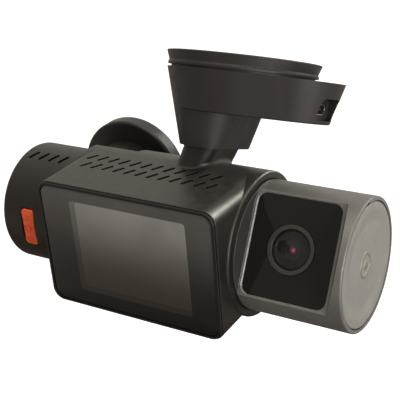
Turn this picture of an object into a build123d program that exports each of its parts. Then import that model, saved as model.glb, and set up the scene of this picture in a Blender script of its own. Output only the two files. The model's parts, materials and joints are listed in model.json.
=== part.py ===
"""A windscreen dash camera: a round body with a display, a front camera drum, a cabin camera drum,
and the magnetic bracket that it hangs from. Millimetres, +Z up, +X along the body towards the cabin
camera, +Y towards the road. The origin is the centre of the adhesive face that sticks to the glass."""

from build123d import *

import os
from math import asin, cos, degrees, radians, sin, sqrt, tan

# ---------------------------------------------------------------- driving dimensions
GLASS_RAKE = 21.2        # how far the bracket's stem leans towards the road, in degrees
PAD_HEIGHT = 54.85       # adhesive face above the body's axis, along the stem
PAD_X = 16.7             # adhesive face's centre, from the middle of the display

SHELL_R = 22.4           # round centre shell, outside
BORE_R = 20.2            # round centre shell, inside
SHELL_X0 = -31.8
SHELL_X1 = 30.8
PARTITION_R = 21.6       # wall left between the display's bay and the drums
MIDDLE_X0 = -13.5        # bay for the circuit boards, between the two drums
MIDDLE_X1 = 17.5
WALL = 2.0
SEAM = 0.15              # gap drawn between two shells that are clipped or screwed together

BLOCK_X0 = -32.3         # display block in front of the round shell
BLOCK_X1 = 30.3
BLOCK_Z0 = -19.3
BLOCK_Z1 = 22.4
BLOCK_FRONT = 26.9       # front of the display's frame
SHELL_FRONT = 26.2       # front edge of the shell around the frame
BLOCK_CORNER = 4.2
FRAME_BACK = 24.65
FRAME_LAP = 26.25        # the frame's lip laps the shell's edge from here
BAY_BACK = 22.8
LAP = 0.35               # shell's edge left showing round the lip
POCKET = 0.9             # shell's edge, to the pocket that takes the frame
RIM = 1.2                # rim of the block around the cover glass
GLASS_FRONT = 26.6
GLASS_BACK = 25.6

COVER_Y = 2.0            # the rear cover lies behind and below these two planes
COVER_Z = 11.0

DRUM_R = 19.8            # front drum
FRONT_X0 = -56.1
FRONT_X1 = -20.7
FRONT_LENS_X = -37.7
HOOD_R = 20.35
HOOD_BACK = 28.5
HOOD_FRONT = 34.1
LENS_NECK_R = 13.4
FRONT_TRAVEL = 30.0      # the front camera turns this far either way, in degrees
RECESS_R = 21.3          # shell's recess beside the hood
RECESS_X1 = -15.2
RECESS_SWEEP = 80.0      # it reaches this far either way from the road side, in degrees

CABIN_R = 20.0           # cabin drum
CABIN_WALL_X = 31.2
CABIN_FLAT_X1 = 59.0     # foot of the slope that rises from the flat to the rim
CABIN_SLOPE_X1 = 61.9
CABIN_X1 = 63.75
CABIN_FLAT = 12.45       # flat's distance from the axis
CABIN_UP = 31.0          # the flat looks up by this angle at rest
CABIN_LENS_X = 44.7
WINDOW_X0 = 31.8
WINDOW_X1 = 57.9
WINDOW_HALF = 14.9

SPIGOT_R = 15.0          # both drums turn on spigots of this radius
SPIGOT_BORE = 12.0
RUN = 0.05               # radial clearance of a spigot in its bush
FRONT_BUSH_X = -18.6
CABIN_BUSH_X = 20.2
BUSH_LENGTH = 3.4

STEM_X = 9.8             # bracket's stem and the body's neck; heights are along the stem
STEM_FOOT = 27.0
NOSE_FOOT = 37.7
HOUSING_TOP = 49.85
HOUSING_R = 22.94        # round end of the housing at its top
DRAFT = 15.3
STEM_X1 = 17.7           # stem's foot: its right side, front and rear; its left side is the round end's cone
STEM_FRONT = 14.2
STEM_REAR = 12.6
STEM_CORNER = 6.0
STEM_BLEND = 2.0
NOSE_X = 32.9
NOSE_R = 16.04
PLATE_R = 23.5
PLATE_FOOT = 50.6
PLATE_TOP = 54.75
PAD_FOOT = 53.95         # bottom of the recess that holds the adhesive pad
PAD_R = 22.6
NECK_TOP = 26.75
NECK_LENGTH = 12.75      # down to inside the shell
NECK_HALF_Y = 10.0
NECK_X0 = 3.1            # neck's ends at its top
NECK_X1 = 14.8
NECK_LEAN = 25.5         # its right side draws in by this angle on the way down
NECK_FLARE = 11.5        # and its left side spreads by this one
NECK_ROOT = 1.2
POST_HALF_X = 4.9        # locating post on the neck, which plugs into the stem
POST_HALF_Y = 7.8
POST_TOP = 29.95

# ---------------------------------------------------------------- planes
UP = Vector(0, sin(radians(GLASS_RAKE)), cos(radians(GLASS_RAKE)))
CENTRE = Vector(-PAD_X, 0, 0) - UP * PAD_HEIGHT
CABIN_OUT = Vector(0, -cos(radians(CABIN_UP)), sin(radians(CABIN_UP)))


def across(x):
    """Plane square to the body's axis at x: its own axes are +Y and +Z, and it faces +X."""
    return Plane(origin=CENTRE + Vector(x, 0, 0), x_dir=(0, 1, 0), z_dir=(1, 0, 0))


def facing(y):
    """Plane at a distance y in front of the axis, seen as the driver sees the display."""
    return Plane(origin=CENTRE - Vector(0, y, 0), x_dir=(1, 0, 0), z_dir=(0, -1, 0))


def level(z):
    """Horizontal plane at height z above the axis, facing up."""
    return Plane(origin=CENTRE + Vector(0, 0, z))


def road(y):
    """Plane at a distance y behind the axis, centred on the front lens and facing the road."""
    return Plane(origin=CENTRE + Vector(FRONT_LENS_X, y, 0), x_dir=(-1, 0, 0), z_dir=(0, 1, 0))


def on_stem(w):
    """Plane square to the stem at height w, facing the windscreen."""
    return Plane(origin=CENTRE + UP * w, x_dir=(1, 0, 0), z_dir=UP)


def under_stem(w):
    """The same plane facing the body."""
    return Plane(origin=CENTRE + UP * w, x_dir=(1, 0, 0), z_dir=-UP)


def on_flat(d):
    """Plane parallel to the cabin window at a distance d from the axis, centred on its lens."""
    middle = CENTRE + Vector(CABIN_LENS_X, 0, 0) + CABIN_OUT * d
    return Plane(origin=middle, x_dir=(1, 0, 0), z_dir=CABIN_OUT)


# ---------------------------------------------------------------- shared outlines
def block_outline(inset):
    """The display block seen from the front, moved in by an inset."""
    width = BLOCK_X1 - BLOCK_X0 - 2 * inset
    height = BLOCK_Z1 - BLOCK_Z0 - 2 * inset
    with BuildSketch() as outline:
        with Locations(((BLOCK_X0 + BLOCK_X1) / 2, (BLOCK_Z0 + BLOCK_Z1) / 2)):
            RectangleRounded(width, height, max(BLOCK_CORNER - inset, 1.5))
    return outline.sketch


def box_outline(x0, x1, y0, y1):
    """A plain rectangle between two corners."""
    with BuildSketch() as outline:
        with Locations(((x0 + x1) / 2, (y0 + y1) / 2)):
            Rectangle(x1 - x0, y1 - y0)
    return outline.sketch


def stem_outline(w, inset=0.0):
    """The stem at height w: the round end's cone, cut flat at the front, the rear and the right."""
    grow = (w - STEM_FOOT) * tan(radians(DRAFT)) - inset
    shrink = (HOUSING_TOP - w) * tan(radians(DRAFT)) + inset
    right = STEM_X1 + grow
    left = PAD_X - 2 * HOUSING_R
    depth = STEM_FRONT + STEM_REAR + 2 * grow
    with BuildSketch() as outline:
        with Locations(((left + right) / 2, (STEM_FRONT - STEM_REAR) / 2)):
            RectangleRounded(right - left, depth, STEM_CORNER + grow)
        with Locations((PAD_X, 0)):
            Circle(HOUSING_R - shrink, mode=Mode.INTERSECT)
        fillet(outline.vertices().sort_by(Axis.X)[0:2], STEM_BLEND + grow)
    return outline.sketch


def nose_outline(w, inset=0.0):
    """The bracket housing seen from the windscreen at height w: a round end and a slimmer nose."""
    shrink = (HOUSING_TOP - w) * tan(radians(DRAFT)) + inset
    with BuildSketch() as outline:
        with Locations((PAD_X, 0)):
            Circle(HOUSING_R - shrink)
        with Locations((NOSE_X, 0)):
            Circle(NOSE_R - shrink)
        make_hull()
    return outline.sketch


def flat_profile(distance, radius):
    """A circle about the axis with everything beyond the cabin flat cut off."""
    with BuildSketch() as outline:
        Circle(radius)
        with Locations(Location((0, 0, 0), (0, 0, -CABIN_UP))):
            with Locations((-distance - radius, 0)):
                Rectangle(2 * radius, 3 * radius, mode=Mode.SUBTRACT)
    return outline.sketch


def sector(sweep):
    """A wide wedge from the axis towards the road, reaching this many degrees either way."""
    reach = 2 * SHELL_R
    corners = [
        (reach * cos(radians(share * sweep)), reach * sin(radians(share * sweep)))
        for share in (-1, -0.5, 0, 0.5, 1)
    ]
    with BuildSketch() as wedge:
        with BuildLine():
            Polyline((0, 0), *corners, close=True)
        make_face()
    return wedge.sketch


def save(piece, name):
    """Labels a finished piece and writes it as its own file."""
    piece.part.label = name
    export_step(piece.part, f"parts/{name}.step")


os.makedirs("parts", exist_ok=True)

# ---------------------------------------------------------------- body: the outer shape
VENT_PITCH = 4.1
VENTS_PER_ROW = 12
VENT_LENGTH = 4.4
VENT_WIDTH = 1.3
VENT_DEPTH = 3.4
VENT_SLANT = 62.0
VENT_ROWS = ((-26.15, -5.7), (-24.5, -11.3))   # first vent's x and the row's y

KEY_NAMES = ("power_key", "up_key", "down_key", "menu_key")
KEY_X0 = -24.0
KEY_PITCH = 7.0
KEY_Y = -19.6
KEY_LENGTH = 5.4
KEY_WIDTH = 2.8
KEY_PROUD = 0.5
KEY_GAP = 0.15
KEY_LOCATIONS = [(KEY_X0 + index * KEY_PITCH, KEY_Y) for index in range(len(KEY_NAMES))]
FLOOR_TOP = BLOCK_Z0 + WALL

CARD_X = 10.6
CARD_Y = -21.95
CARD_W = 11.0
CARD_L = 15.0
CARD_T = 0.9
CARD_FOOT = BLOCK_Z0 - 0.4

LENS_SWEEP = degrees(asin((LENS_NECK_R + 0.6) / SHELL_R)) + FRONT_TRAVEL + 0.8
LENS_SLOT_X1 = FRONT_LENS_X + LENS_NECK_R + 0.6
COVER_SCREWS = [(x, z) for x in (-10.5, 14.5) for z in (-7.5, 7.5)]
SCREW_SEAT = 19.9
POST_END = 17.8

SPEAKER_X = 2.0
SPEAKER_R = 9.0

MAGNET_V = 4.9
MAGNET_R = 2.2
CONTACT_PITCH = 1.5
CONTACTS = 4

with BuildPart() as shell:
    with BuildSketch(facing(0)):
        add(block_outline(0))
    extrude(amount=SHELL_FRONT)
    fillet(shell.edges().group_by(Axis.Y)[0], 0.3)
    with BuildSketch(across(SHELL_X0)):
        Circle(SHELL_R)
    extrude(amount=SHELL_X1 - SHELL_X0)
    rim_edge = shell.edges().filter_by(GeomType.CIRCLE).group_by(Axis.X)[-1]
    fillet(rim_edge.sort_by(Edge.length)[-1], 0.7)
    with BuildSketch(on_stem(NECK_TOP)):
        with Locations(((NECK_X0 + NECK_X1) / 2, 0)):
            RectangleRounded(NECK_X1 - NECK_X0, 2 * NECK_HALF_Y, 4.2)
    root_x0 = NECK_X0 - NECK_LENGTH * tan(radians(NECK_FLARE))
    root_x1 = NECK_X1 - NECK_LENGTH * tan(radians(NECK_LEAN))
    with BuildSketch(on_stem(NECK_TOP - NECK_LENGTH)):
        with Locations(((root_x0 + root_x1) / 2, 0)):
            RectangleRounded(root_x1 - root_x0, 2 * NECK_HALF_Y + 2.0, 3.4)
    loft(ruled=True)
    root_edges = [
        edge
        for edge in shell.edges()
        if 18.0 < (edge.center() - CENTRE).dot(UP) < 24.0
        and -1.0 < (edge.center() - CENTRE).X < NECK_X1 + 1.0
        and edge.length < 30.0
    ]
    fillet(root_edges, NECK_ROOT)
    with BuildSketch(on_stem(NECK_TOP)):
        with Locations((STEM_X, 0)):
            RectangleRounded(2 * POST_HALF_X, 2 * POST_HALF_Y, 2.4)
    extrude(amount=POST_TOP - NECK_TOP)

    # the drums' bore, the display's bay and the middle bay for the boards
    with BuildSketch(across(BLOCK_X0 - 1.0)):
        Circle(BORE_R)
    extrude(amount=SHELL_X1 - BLOCK_X0 + 2.0, mode=Mode.SUBTRACT)
    with BuildSketch(across(BLOCK_X0 + WALL)):
        add(box_outline(-BAY_BACK, -7.2, FLOOR_TOP, BLOCK_Z1 - WALL))
        Circle(PARTITION_R, mode=Mode.SUBTRACT)
    extrude(amount=BLOCK_X1 - BLOCK_X0 - 2 * WALL, mode=Mode.SUBTRACT)
    with BuildSketch(facing(BAY_BACK)):
        add(block_outline(WALL))
    extrude(amount=BLOCK_FRONT - BAY_BACK, mode=Mode.SUBTRACT)
    with BuildSketch(facing(FRAME_BACK - SEAM)):
        add(block_outline(POCKET))
    extrude(amount=BLOCK_FRONT - FRAME_BACK, mode=Mode.SUBTRACT)
    with BuildSketch(facing(8.0)):
        add(box_outline(MIDDLE_X0, MIDDLE_X1, FLOOR_TOP, BLOCK_Z1 - WALL))
    extrude(amount=BAY_BACK - 8.0, mode=Mode.SUBTRACT)

    # the way for the front lens, and a shallow recess round it beside the hood
    with BuildSketch(across(SHELL_X0 - 1.0)):
        add(sector(LENS_SWEEP))
    extrude(amount=LENS_SLOT_X1 - SHELL_X0 + 1.0, mode=Mode.SUBTRACT)
    with BuildSketch(across(SHELL_X0 - 1.0)):
        add(sector(RECESS_SWEEP))
        Circle(RECESS_R, mode=Mode.SUBTRACT)
    extrude(amount=RECESS_X1 - SHELL_X0 + 1.0, mode=Mode.SUBTRACT)

    # cooling vents, the card's slot and the keys' holes
    with BuildSketch(level(BLOCK_Z1 - VENT_DEPTH)):
        for first_x, row_y in VENT_ROWS:
            with Locations([(first_x + index * VENT_PITCH, row_y) for index in range(VENTS_PER_ROW)]):
                SlotOverall(VENT_LENGTH, VENT_WIDTH, rotation=VENT_SLANT)
    extrude(amount=VENT_DEPTH + 1.0, mode=Mode.SUBTRACT)
    with BuildSketch(level(BLOCK_Z0 - 1.0)):
        with Locations((CARD_X, CARD_Y)):
            Rectangle(CARD_W + 0.4, CARD_T + 0.4)
        with Locations(KEY_LOCATIONS):
            RectangleRounded(KEY_LENGTH + 2 * KEY_GAP, KEY_WIDTH + 2 * KEY_GAP, 1.2)
    extrude(amount=WALL + 1.5, mode=Mode.SUBTRACT)

    # pockets in the neck's post for the magnets and the contact plate
    with BuildSketch(under_stem(POST_TOP)):
        with Locations((STEM_X, 0)):
            RectangleRounded(2 * POST_HALF_X - 1.6, 2 * POST_HALF_Y - 1.6, 1.6)
    extrude(amount=1.0, mode=Mode.SUBTRACT)
    with BuildSketch(under_stem(POST_TOP)):
        with Locations((STEM_X, MAGNET_V), (STEM_X, -MAGNET_V)):
            Circle(MAGNET_R + 0.05)
    extrude(amount=3.6, mode=Mode.SUBTRACT)

    # the cover's screw holes and the speaker's grille
    with BuildSketch(road(POST_END)):
        with Locations([(FRONT_LENS_X - x, z) for x, z in COVER_SCREWS]):
            Circle(1.15)
        with Locations((FRONT_LENS_X - SPEAKER_X, 0)):
            Circle(0.6)
            with PolarLocations(3.0, 6):
                Circle(0.6)
            with PolarLocations(6.0, 12):
                Circle(0.6)
    extrude(amount=6.0, mode=Mode.SUBTRACT)
    with BuildSketch(road(SCREW_SEAT)):
        with Locations([(FRONT_LENS_X - x, z) for x, z in COVER_SCREWS]):
            Circle(2.0)
    extrude(amount=6.0, mode=Mode.SUBTRACT)

with BuildPart() as front_shell:
    add(shell.part)
    with BuildSketch(across(SHELL_X0 - 1.0)):
        add(box_outline(COVER_Y, 2 * SHELL_R, -2 * SHELL_R, COVER_Z))
    extrude(amount=SHELL_X1 - SHELL_X0 + 2.0, mode=Mode.SUBTRACT)
save(front_shell, "front_shell")

with BuildPart() as rear_cover:
    add(shell.part)
    with BuildSketch(across(SHELL_X0 - 1.0)):
        add(box_outline(COVER_Y + SEAM, 2 * SHELL_R, -2 * SHELL_R, COVER_Z - SEAM))
    extrude(amount=SHELL_X1 - SHELL_X0 + 2.0, mode=Mode.INTERSECT)
save(rear_cover, "rear_cover")

# ---------------------------------------------------------------- body: display
with BuildPart() as display_frame:
    with BuildSketch(facing(FRAME_BACK)):
        add(block_outline(POCKET + 0.05))
    extrude(amount=FRAME_LAP - FRAME_BACK)
    with BuildSketch(facing(FRAME_LAP)):
        add(block_outline(LAP))
    extrude(amount=BLOCK_FRONT - FRAME_LAP)
    fillet(display_frame.edges().group_by(Axis.Y)[0], 0.3)
    with BuildSketch(facing(GLASS_BACK)):
        add(block_outline(RIM))
    extrude(amount=BLOCK_FRONT - GLASS_BACK, mode=Mode.SUBTRACT)
    with BuildSketch(facing(FRAME_BACK)):
        add(block_outline(RIM + 1.6))
    extrude(amount=BLOCK_FRONT - FRAME_BACK, mode=Mode.SUBTRACT)
save(display_frame, "display_frame")

with BuildPart() as cover_glass:
    with BuildSketch(facing(GLASS_BACK)):
        add(block_outline(RIM + 0.12))
    extrude(amount=GLASS_FRONT - GLASS_BACK)
    chamfer(cover_glass.edges().group_by(Axis.Y)[0], 0.15)
save(cover_glass, "cover_glass")

PANEL_W = 46.6
PANEL_H = 34.4
PANEL_Z = 2.1
PANEL_BACK = 23.2

with BuildPart() as lcd_panel:
    with BuildSketch(facing(PANEL_BACK)):
        with Locations((0, PANEL_Z)):
            RectangleRounded(PANEL_W, PANEL_H, 0.8)
    extrude(amount=GLASS_BACK - PANEL_BACK)
save(lcd_panel, "lcd_panel")

# ---------------------------------------------------------------- body: boards and what they carry
BOARD_T = 1.2
MAIN_BOARD_FRONT = 21.2
MAIN_BOARD = (MIDDLE_X0 + 1.0, MIDDLE_X1 - 1.0, -12.5, 19.2)

with BuildPart() as main_circuit_board:
    with BuildSketch(facing(MAIN_BOARD_FRONT - BOARD_T)):
        add(box_outline(*MAIN_BOARD))
    extrude(amount=BOARD_T)
save(main_circuit_board, "main_circuit_board")

CHIP_BACK = 18.7
with BuildPart() as board_chips:
    with BuildSketch(facing(CHIP_BACK)):
        with Locations((1.0, 5.5)):
            Rectangle(14.0, 14.0)
    extrude(amount=MAIN_BOARD_FRONT - BOARD_T - CHIP_BACK)
    with BuildSketch(facing(CHIP_BACK + 0.2)):
        with Locations((-5.0, -7.5), (7.0, -7.5)):
            Rectangle(9.0, 7.0)
    extrude(amount=MAIN_BOARD_FRONT - BOARD_T - CHIP_BACK - 0.2)
save(board_chips, "board_chips")

with BuildPart() as heat_sink:
    with BuildSketch(facing(CHIP_BACK - 1.5)):
        with Locations((1.0, 5.5)):
            RectangleRounded(22.0, 18.0, 1.0)
    extrude(amount=1.5)
    with BuildSketch(facing(CHIP_BACK - 5.0)):
        with Locations((1.0, 5.5)):
            with GridLocations(3.0, 0, 7, 1):
                Rectangle(1.0, 16.0)
    extrude(amount=3.5)
save(heat_sink, "heat_sink")

CARRIER_FRONT = 3.8
CARRIER_BACK = 2.2
with BuildPart() as board_carrier:
    with BuildSketch(facing(CARRIER_BACK)):
        add(box_outline(MIDDLE_X0 + 0.5, MIDDLE_X1 - 0.5, -11.0, 11.0))
        with Locations((2.0, 0)):
            Rectangle(12.0, 12.0, mode=Mode.SUBTRACT)
    extrude(amount=CARRIER_FRONT - CARRIER_BACK)
    with BuildSketch(facing(CARRIER_BACK)):
        with Locations(COVER_SCREWS):
            Circle(1.9)
    extrude(amount=-CARRIER_BACK - POST_END)
    with BuildSketch(facing(CARRIER_FRONT)):
        with Locations((-11.4, -9.3), (-11.4, 9.3), (15.4, -9.3), (15.4, 9.3)):
            Circle(1.3)
    extrude(amount=MAIN_BOARD_FRONT - BOARD_T - CARRIER_FRONT)
    with BuildSketch(facing(-POST_END)):
        with Locations(COVER_SCREWS):
            Circle(1.05)
    extrude(amount=8.0, mode=Mode.SUBTRACT)
save(board_carrier, "board_carrier")

with BuildPart() as cover_screws:
    with BuildSketch(facing(-SCREW_SEAT)):
        with Locations(COVER_SCREWS):
            Circle(1.0)
    extrude(amount=8.0)
    with BuildSketch(facing(-SCREW_SEAT)):
        with Locations(COVER_SCREWS):
            Circle(1.85)
    extrude(amount=-1.1)
    with BuildSketch(facing(-SCREW_SEAT - 1.1)):
        with Locations(COVER_SCREWS):
            Rectangle(2.2, 0.5)
            Rectangle(0.5, 2.2)
    extrude(amount=0.6, mode=Mode.SUBTRACT)
save(cover_screws, "cover_screws")

POWER_BOARD = (-7.6, 11.6, -11.0, 11.0)
with BuildPart() as power_circuit_board:
    with BuildSketch(facing(CARRIER_BACK - BOARD_T)):
        add(box_outline(*POWER_BOARD))
    extrude(amount=BOARD_T)
save(power_circuit_board, "power_circuit_board")

CAPACITOR_R = 4.9
with BuildPart() as supercapacitors:
    with BuildSketch(across(-6.5)):
        with Locations((CAPACITOR_R - 0.95, -5.2), (CAPACITOR_R - 0.95, 5.2)):
            Circle(CAPACITOR_R)
    extrude(amount=17.0)
    fillet(supercapacitors.edges().filter_by(GeomType.CIRCLE), 0.5)
save(supercapacitors, "supercapacitors")

with BuildPart() as speaker:
    with BuildSketch(facing(-12.5)):
        with Locations((SPEAKER_X, 0)):
            Circle(SPEAKER_R)
    extrude(amount=-4.0)
    with BuildSketch(facing(-9.2)):
        with Locations((SPEAKER_X, 0)):
            Circle(4.5)
    extrude(amount=-3.3)
    with BuildSketch(facing(-16.5)):
        with Locations((SPEAKER_X, 0)):
            Circle(SPEAKER_R - 1.0)
    extrude(amount=0.8, mode=Mode.SUBTRACT)
    with BuildSketch(facing(-15.7)):
        with Locations((SPEAKER_X, 0)):
            Circle(2.6)
    extrude(amount=-0.5)
save(speaker, "speaker")

# ---------------------------------------------------------------- body: card
SOCKET_TOP = -3.4
with BuildPart() as card_socket:
    with BuildSketch(level(FLOOR_TOP + 0.1)):
        with Locations((CARD_X, -(MAIN_BOARD_FRONT + 0.85))):
            Rectangle(CARD_W + 1.4, 1.7)
        with Locations((CARD_X, CARD_Y)):
            Rectangle(CARD_W + 0.3, CARD_T + 0.2, mode=Mode.SUBTRACT)
    extrude(amount=SOCKET_TOP - FLOOR_TOP - 0.1)
save(card_socket, "card_socket")

with BuildPart() as memory_card:
    with BuildSketch(facing(-CARD_Y - CARD_T / 2)):
        with Locations((CARD_X, CARD_FOOT + CARD_L / 2)):
            RectangleRounded(CARD_W, CARD_L, 0.6)
        with Locations((CARD_X + CARD_W / 2, CARD_FOOT + CARD_L)):
            Rectangle(2.6, 9.0, mode=Mode.SUBTRACT)
    extrude(amount=CARD_T)
save(memory_card, "memory_card")

# ---------------------------------------------------------------- body: keys
KEY_REST = FLOOR_TOP + 0.05
KEY_FLANGE = 0.6
KEY_TRAVEL = 0.35
SWITCH_FOOT = KEY_REST + KEY_FLANGE + KEY_TRAVEL + 0.05
SWITCH_H = 1.25

for name, (key_x, key_y) in zip(KEY_NAMES, KEY_LOCATIONS):
    with BuildPart() as key:
        with BuildSketch(level(BLOCK_Z0 - KEY_PROUD)):
            with Locations((key_x, key_y)):
                RectangleRounded(KEY_LENGTH, KEY_WIDTH, 1.05)
        extrude(amount=KEY_REST - BLOCK_Z0 + KEY_PROUD)
        fillet(key.edges().group_by(Axis.Z)[0], 0.3)
        with BuildSketch(level(KEY_REST)):
            with Locations((key_x, key_y)):
                Rectangle(KEY_LENGTH + 1.0, KEY_WIDTH + 1.0)
        extrude(amount=KEY_FLANGE)
    save(key, name)

with BuildPart() as key_switches:
    with BuildSketch(level(SWITCH_FOOT)):
        with Locations(KEY_LOCATIONS):
            Circle(0.9)
    extrude(amount=0.4)
    with BuildSketch(level(SWITCH_FOOT + 0.4)):
        with Locations(KEY_LOCATIONS):
            Rectangle(3.0, 3.0)
    extrude(amount=SWITCH_H - 0.4)
save(key_switches, "key_switches")

with BuildPart() as key_circuit_board:
    with BuildSketch(level(SWITCH_FOOT + SWITCH_H)):
        add(box_outline(-28.0, 1.4, -22.6, -17.2))
    extrude(amount=0.8)
save(key_circuit_board, "key_circuit_board")

# ---------------------------------------------------------------- body: contacts, magnets and bushes
with BuildPart() as contact_plate:
    with BuildSketch(on_stem(POST_TOP - 0.95)):
        with Locations((STEM_X, 0)):
            RectangleRounded(2 * POST_HALF_X - 1.8, 2 * POST_HALF_Y - 1.8, 1.5)
    extrude(amount=0.85)
save(contact_plate, "contact_plate")

PIN_LOCATIONS = [(STEM_X, (index - (CONTACTS - 1) / 2) * CONTACT_PITCH) for index in range(CONTACTS)]
with BuildPart() as body_magnets:
    with BuildSketch(under_stem(POST_TOP - 1.0)):
        with Locations((STEM_X, MAGNET_V), (STEM_X, -MAGNET_V)):
            Circle(MAGNET_R)
    extrude(amount=2.55)
save(body_magnets, "body_magnets")

for name, bush_x in (("front_drum_bush", FRONT_BUSH_X), ("cabin_drum_bush", CABIN_BUSH_X)):
    with BuildPart() as bush:
        with BuildSketch(across(bush_x)):
            Circle(BORE_R - 0.05)
            Circle(SPIGOT_R + RUN, mode=Mode.SUBTRACT)
        extrude(amount=BUSH_LENGTH)
        chamfer(bush.edges().filter_by(GeomType.CIRCLE), 0.3)
    save(bush, name)

# ---------------------------------------------------------------- front camera: drum and journal
BUTTON_X = -45.35
BUTTON_W = 4.9
BUTTON_H = 12.9
BUTTON_GAP = 0.25
BUTTON_R = 20.05
DRUM_CAVITY_R = 17.6
BUTTON_FLANGE_R = 17.4
BUTTON_BACK_R = 15.9
DRUM_VENTS = 4
DRUM_VENT_X = -51.35
DRUM_VENT_TURN = 75.5     # vents' place round the drum, up from the display's side, in degrees
NECK_WALL = 2.0

with BuildPart() as front_drum:
    with BuildSketch(across(FRONT_X0)):
        Circle(DRUM_R)
    extrude(amount=FRONT_X1 - FRONT_X0)
    fillet(front_drum.edges().group_by(Axis.X)[0], 1.4)
    with BuildSketch(road(10.0)):
        Circle(LENS_NECK_R)
    extrude(amount=HOOD_BACK - 10.0)
    with BuildSketch(across(FRONT_X0 + WALL)):
        Circle(DRUM_CAVITY_R)
    extrude(amount=FRONT_X1 - FRONT_X0, mode=Mode.SUBTRACT)
    with BuildSketch(road(8.0)):
        Circle(LENS_NECK_R - NECK_WALL)
    extrude(amount=HOOD_BACK, mode=Mode.SUBTRACT)
    with BuildSketch(facing(10.0)):
        with Locations((BUTTON_X, 0)):
            RectangleRounded(BUTTON_W + 2 * BUTTON_GAP, BUTTON_H + 2 * BUTTON_GAP, 1.35)
    extrude(amount=15.0, mode=Mode.SUBTRACT)
    vent_out = Vector(0, -cos(radians(DRUM_VENT_TURN)), sin(radians(DRUM_VENT_TURN)))
    vent_middle = CENTRE + Vector(DRUM_VENT_X, 0, 0) + vent_out * (DRUM_CAVITY_R - 1.0)
    vent_plane = Plane(origin=vent_middle, x_dir=(1, 0, 0), z_dir=vent_out)
    with BuildSketch(vent_plane):
        with Locations([(index * VENT_PITCH, 0) for index in range(DRUM_VENTS)]):
            SlotOverall(VENT_LENGTH, VENT_WIDTH, rotation=VENT_SLANT)
    extrude(amount=5.0, mode=Mode.SUBTRACT)
save(front_drum, "front_drum")

with BuildPart() as front_journal:
    with BuildSketch(across(FRONT_X1 + SEAM)):
        Circle(DRUM_R)
    extrude(amount=FRONT_BUSH_X - 0.3 - FRONT_X1 - SEAM)
    with BuildSketch(across(FRONT_X1 - 2.4)):
        Circle(DRUM_CAVITY_R - 0.1)
    extrude(amount=2.4 + SEAM)
    with BuildSketch(across(FRONT_BUSH_X - 0.3)):
        Circle(SPIGOT_R)
    extrude(amount=BUSH_LENGTH + 1.6)
    with BuildSketch(across(FRONT_X1 - 2.4)):
        Circle(SPIGOT_BORE)
    extrude(amount=20.0, mode=Mode.SUBTRACT)
save(front_journal, "front_journal")

RING_T = 1.0
for name, ring_x in (
    ("front_retaining_ring", FRONT_BUSH_X + BUSH_LENGTH + 0.3),
    ("cabin_retaining_ring", CABIN_BUSH_X - 0.3 - RING_T),
):
    with BuildPart() as ring:
        with BuildSketch(across(ring_x)):
            Circle(SPIGOT_R + 1.5)
            Circle(SPIGOT_R, mode=Mode.SUBTRACT)
        extrude(amount=RING_T)
    save(ring, name)

# ---------------------------------------------------------------- front camera: hood and lens
FRONT_BOARD_Y = 5.8
FRONT_HOLDER_Y = 16.0
FRONT_TUBE_R = 7.0
FRONT_TUBE_Y = 9.0       # foot of the tube
FRONT_FLANGE_Y = 28.7
FRONT_GLASS_Y = 30.5
HOOD_BORE = 9.2

with BuildPart() as lens_hood:
    with BuildSketch(road(HOOD_BACK + 0.05)):
        Circle(HOOD_R)
    extrude(amount=HOOD_FRONT - HOOD_BACK - 0.05)
    fillet(lens_hood.edges().group_by(Axis.Y)[0], 1.0)
    fillet(lens_hood.edges().group_by(Axis.Y)[-1], 0.6)
    with BuildSketch(road(HOOD_BACK - 3.0)):
        Circle(LENS_NECK_R - NECK_WALL - 0.1)
    extrude(amount=3.1)
    with BuildSketch(road(HOOD_FRONT)):
        Circle(HOOD_R - 2.4)
    extrude(amount=-2.4, taper=60, mode=Mode.SUBTRACT)
    with BuildSketch(road(HOOD_BACK - 4.0)):
        Circle(HOOD_BORE)
    extrude(amount=12.0, mode=Mode.SUBTRACT)
save(lens_hood, "lens_hood")

with BuildPart() as front_sensor_board:
    with BuildSketch(road(FRONT_BOARD_Y)):
        Rectangle(24.0, 24.0)
    extrude(amount=BOARD_T)
save(front_sensor_board, "front_sensor_board")

with BuildPart() as front_image_sensor:
    with BuildSketch(road(FRONT_BOARD_Y + BOARD_T)):
        Rectangle(9.0, 8.0)
    extrude(amount=1.0)
save(front_image_sensor, "front_image_sensor")

with BuildPart() as front_lens_holder:
    with BuildSketch(road(FRONT_BOARD_Y + BOARD_T)):
        RectangleRounded(17.0, 17.0, 1.5)
    extrude(amount=FRONT_HOLDER_Y - FRONT_BOARD_Y - BOARD_T)
    with BuildSketch(road(FRONT_BOARD_Y + BOARD_T)):
        Rectangle(11.0, 10.0)
    extrude(amount=1.5, mode=Mode.SUBTRACT)
    with BuildSketch(road(FRONT_BOARD_Y + BOARD_T)):
        Circle(FRONT_TUBE_R)
    extrude(amount=12.0, mode=Mode.SUBTRACT)
save(front_lens_holder, "front_lens_holder")

with BuildPart() as front_lens_tube:
    with BuildSketch(road(FRONT_TUBE_Y)):
        Circle(FRONT_TUBE_R)
    extrude(amount=FRONT_FLANGE_Y - FRONT_TUBE_Y)
    with BuildSketch(road(FRONT_FLANGE_Y)):
        Circle(FRONT_TUBE_R + 1.6)
    extrude(amount=3.6)
    fillet(front_lens_tube.edges().group_by(Axis.Y)[-1], 0.4)
    with BuildSketch(road(FRONT_BOARD_Y)):
        Circle(4.5)
    extrude(amount=30.0, mode=Mode.SUBTRACT)
    with BuildSketch(road(FRONT_GLASS_Y)):
        Circle(6.4)
    extrude(amount=5.0, mode=Mode.SUBTRACT)
save(front_lens_tube, "front_lens_tube")


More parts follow.
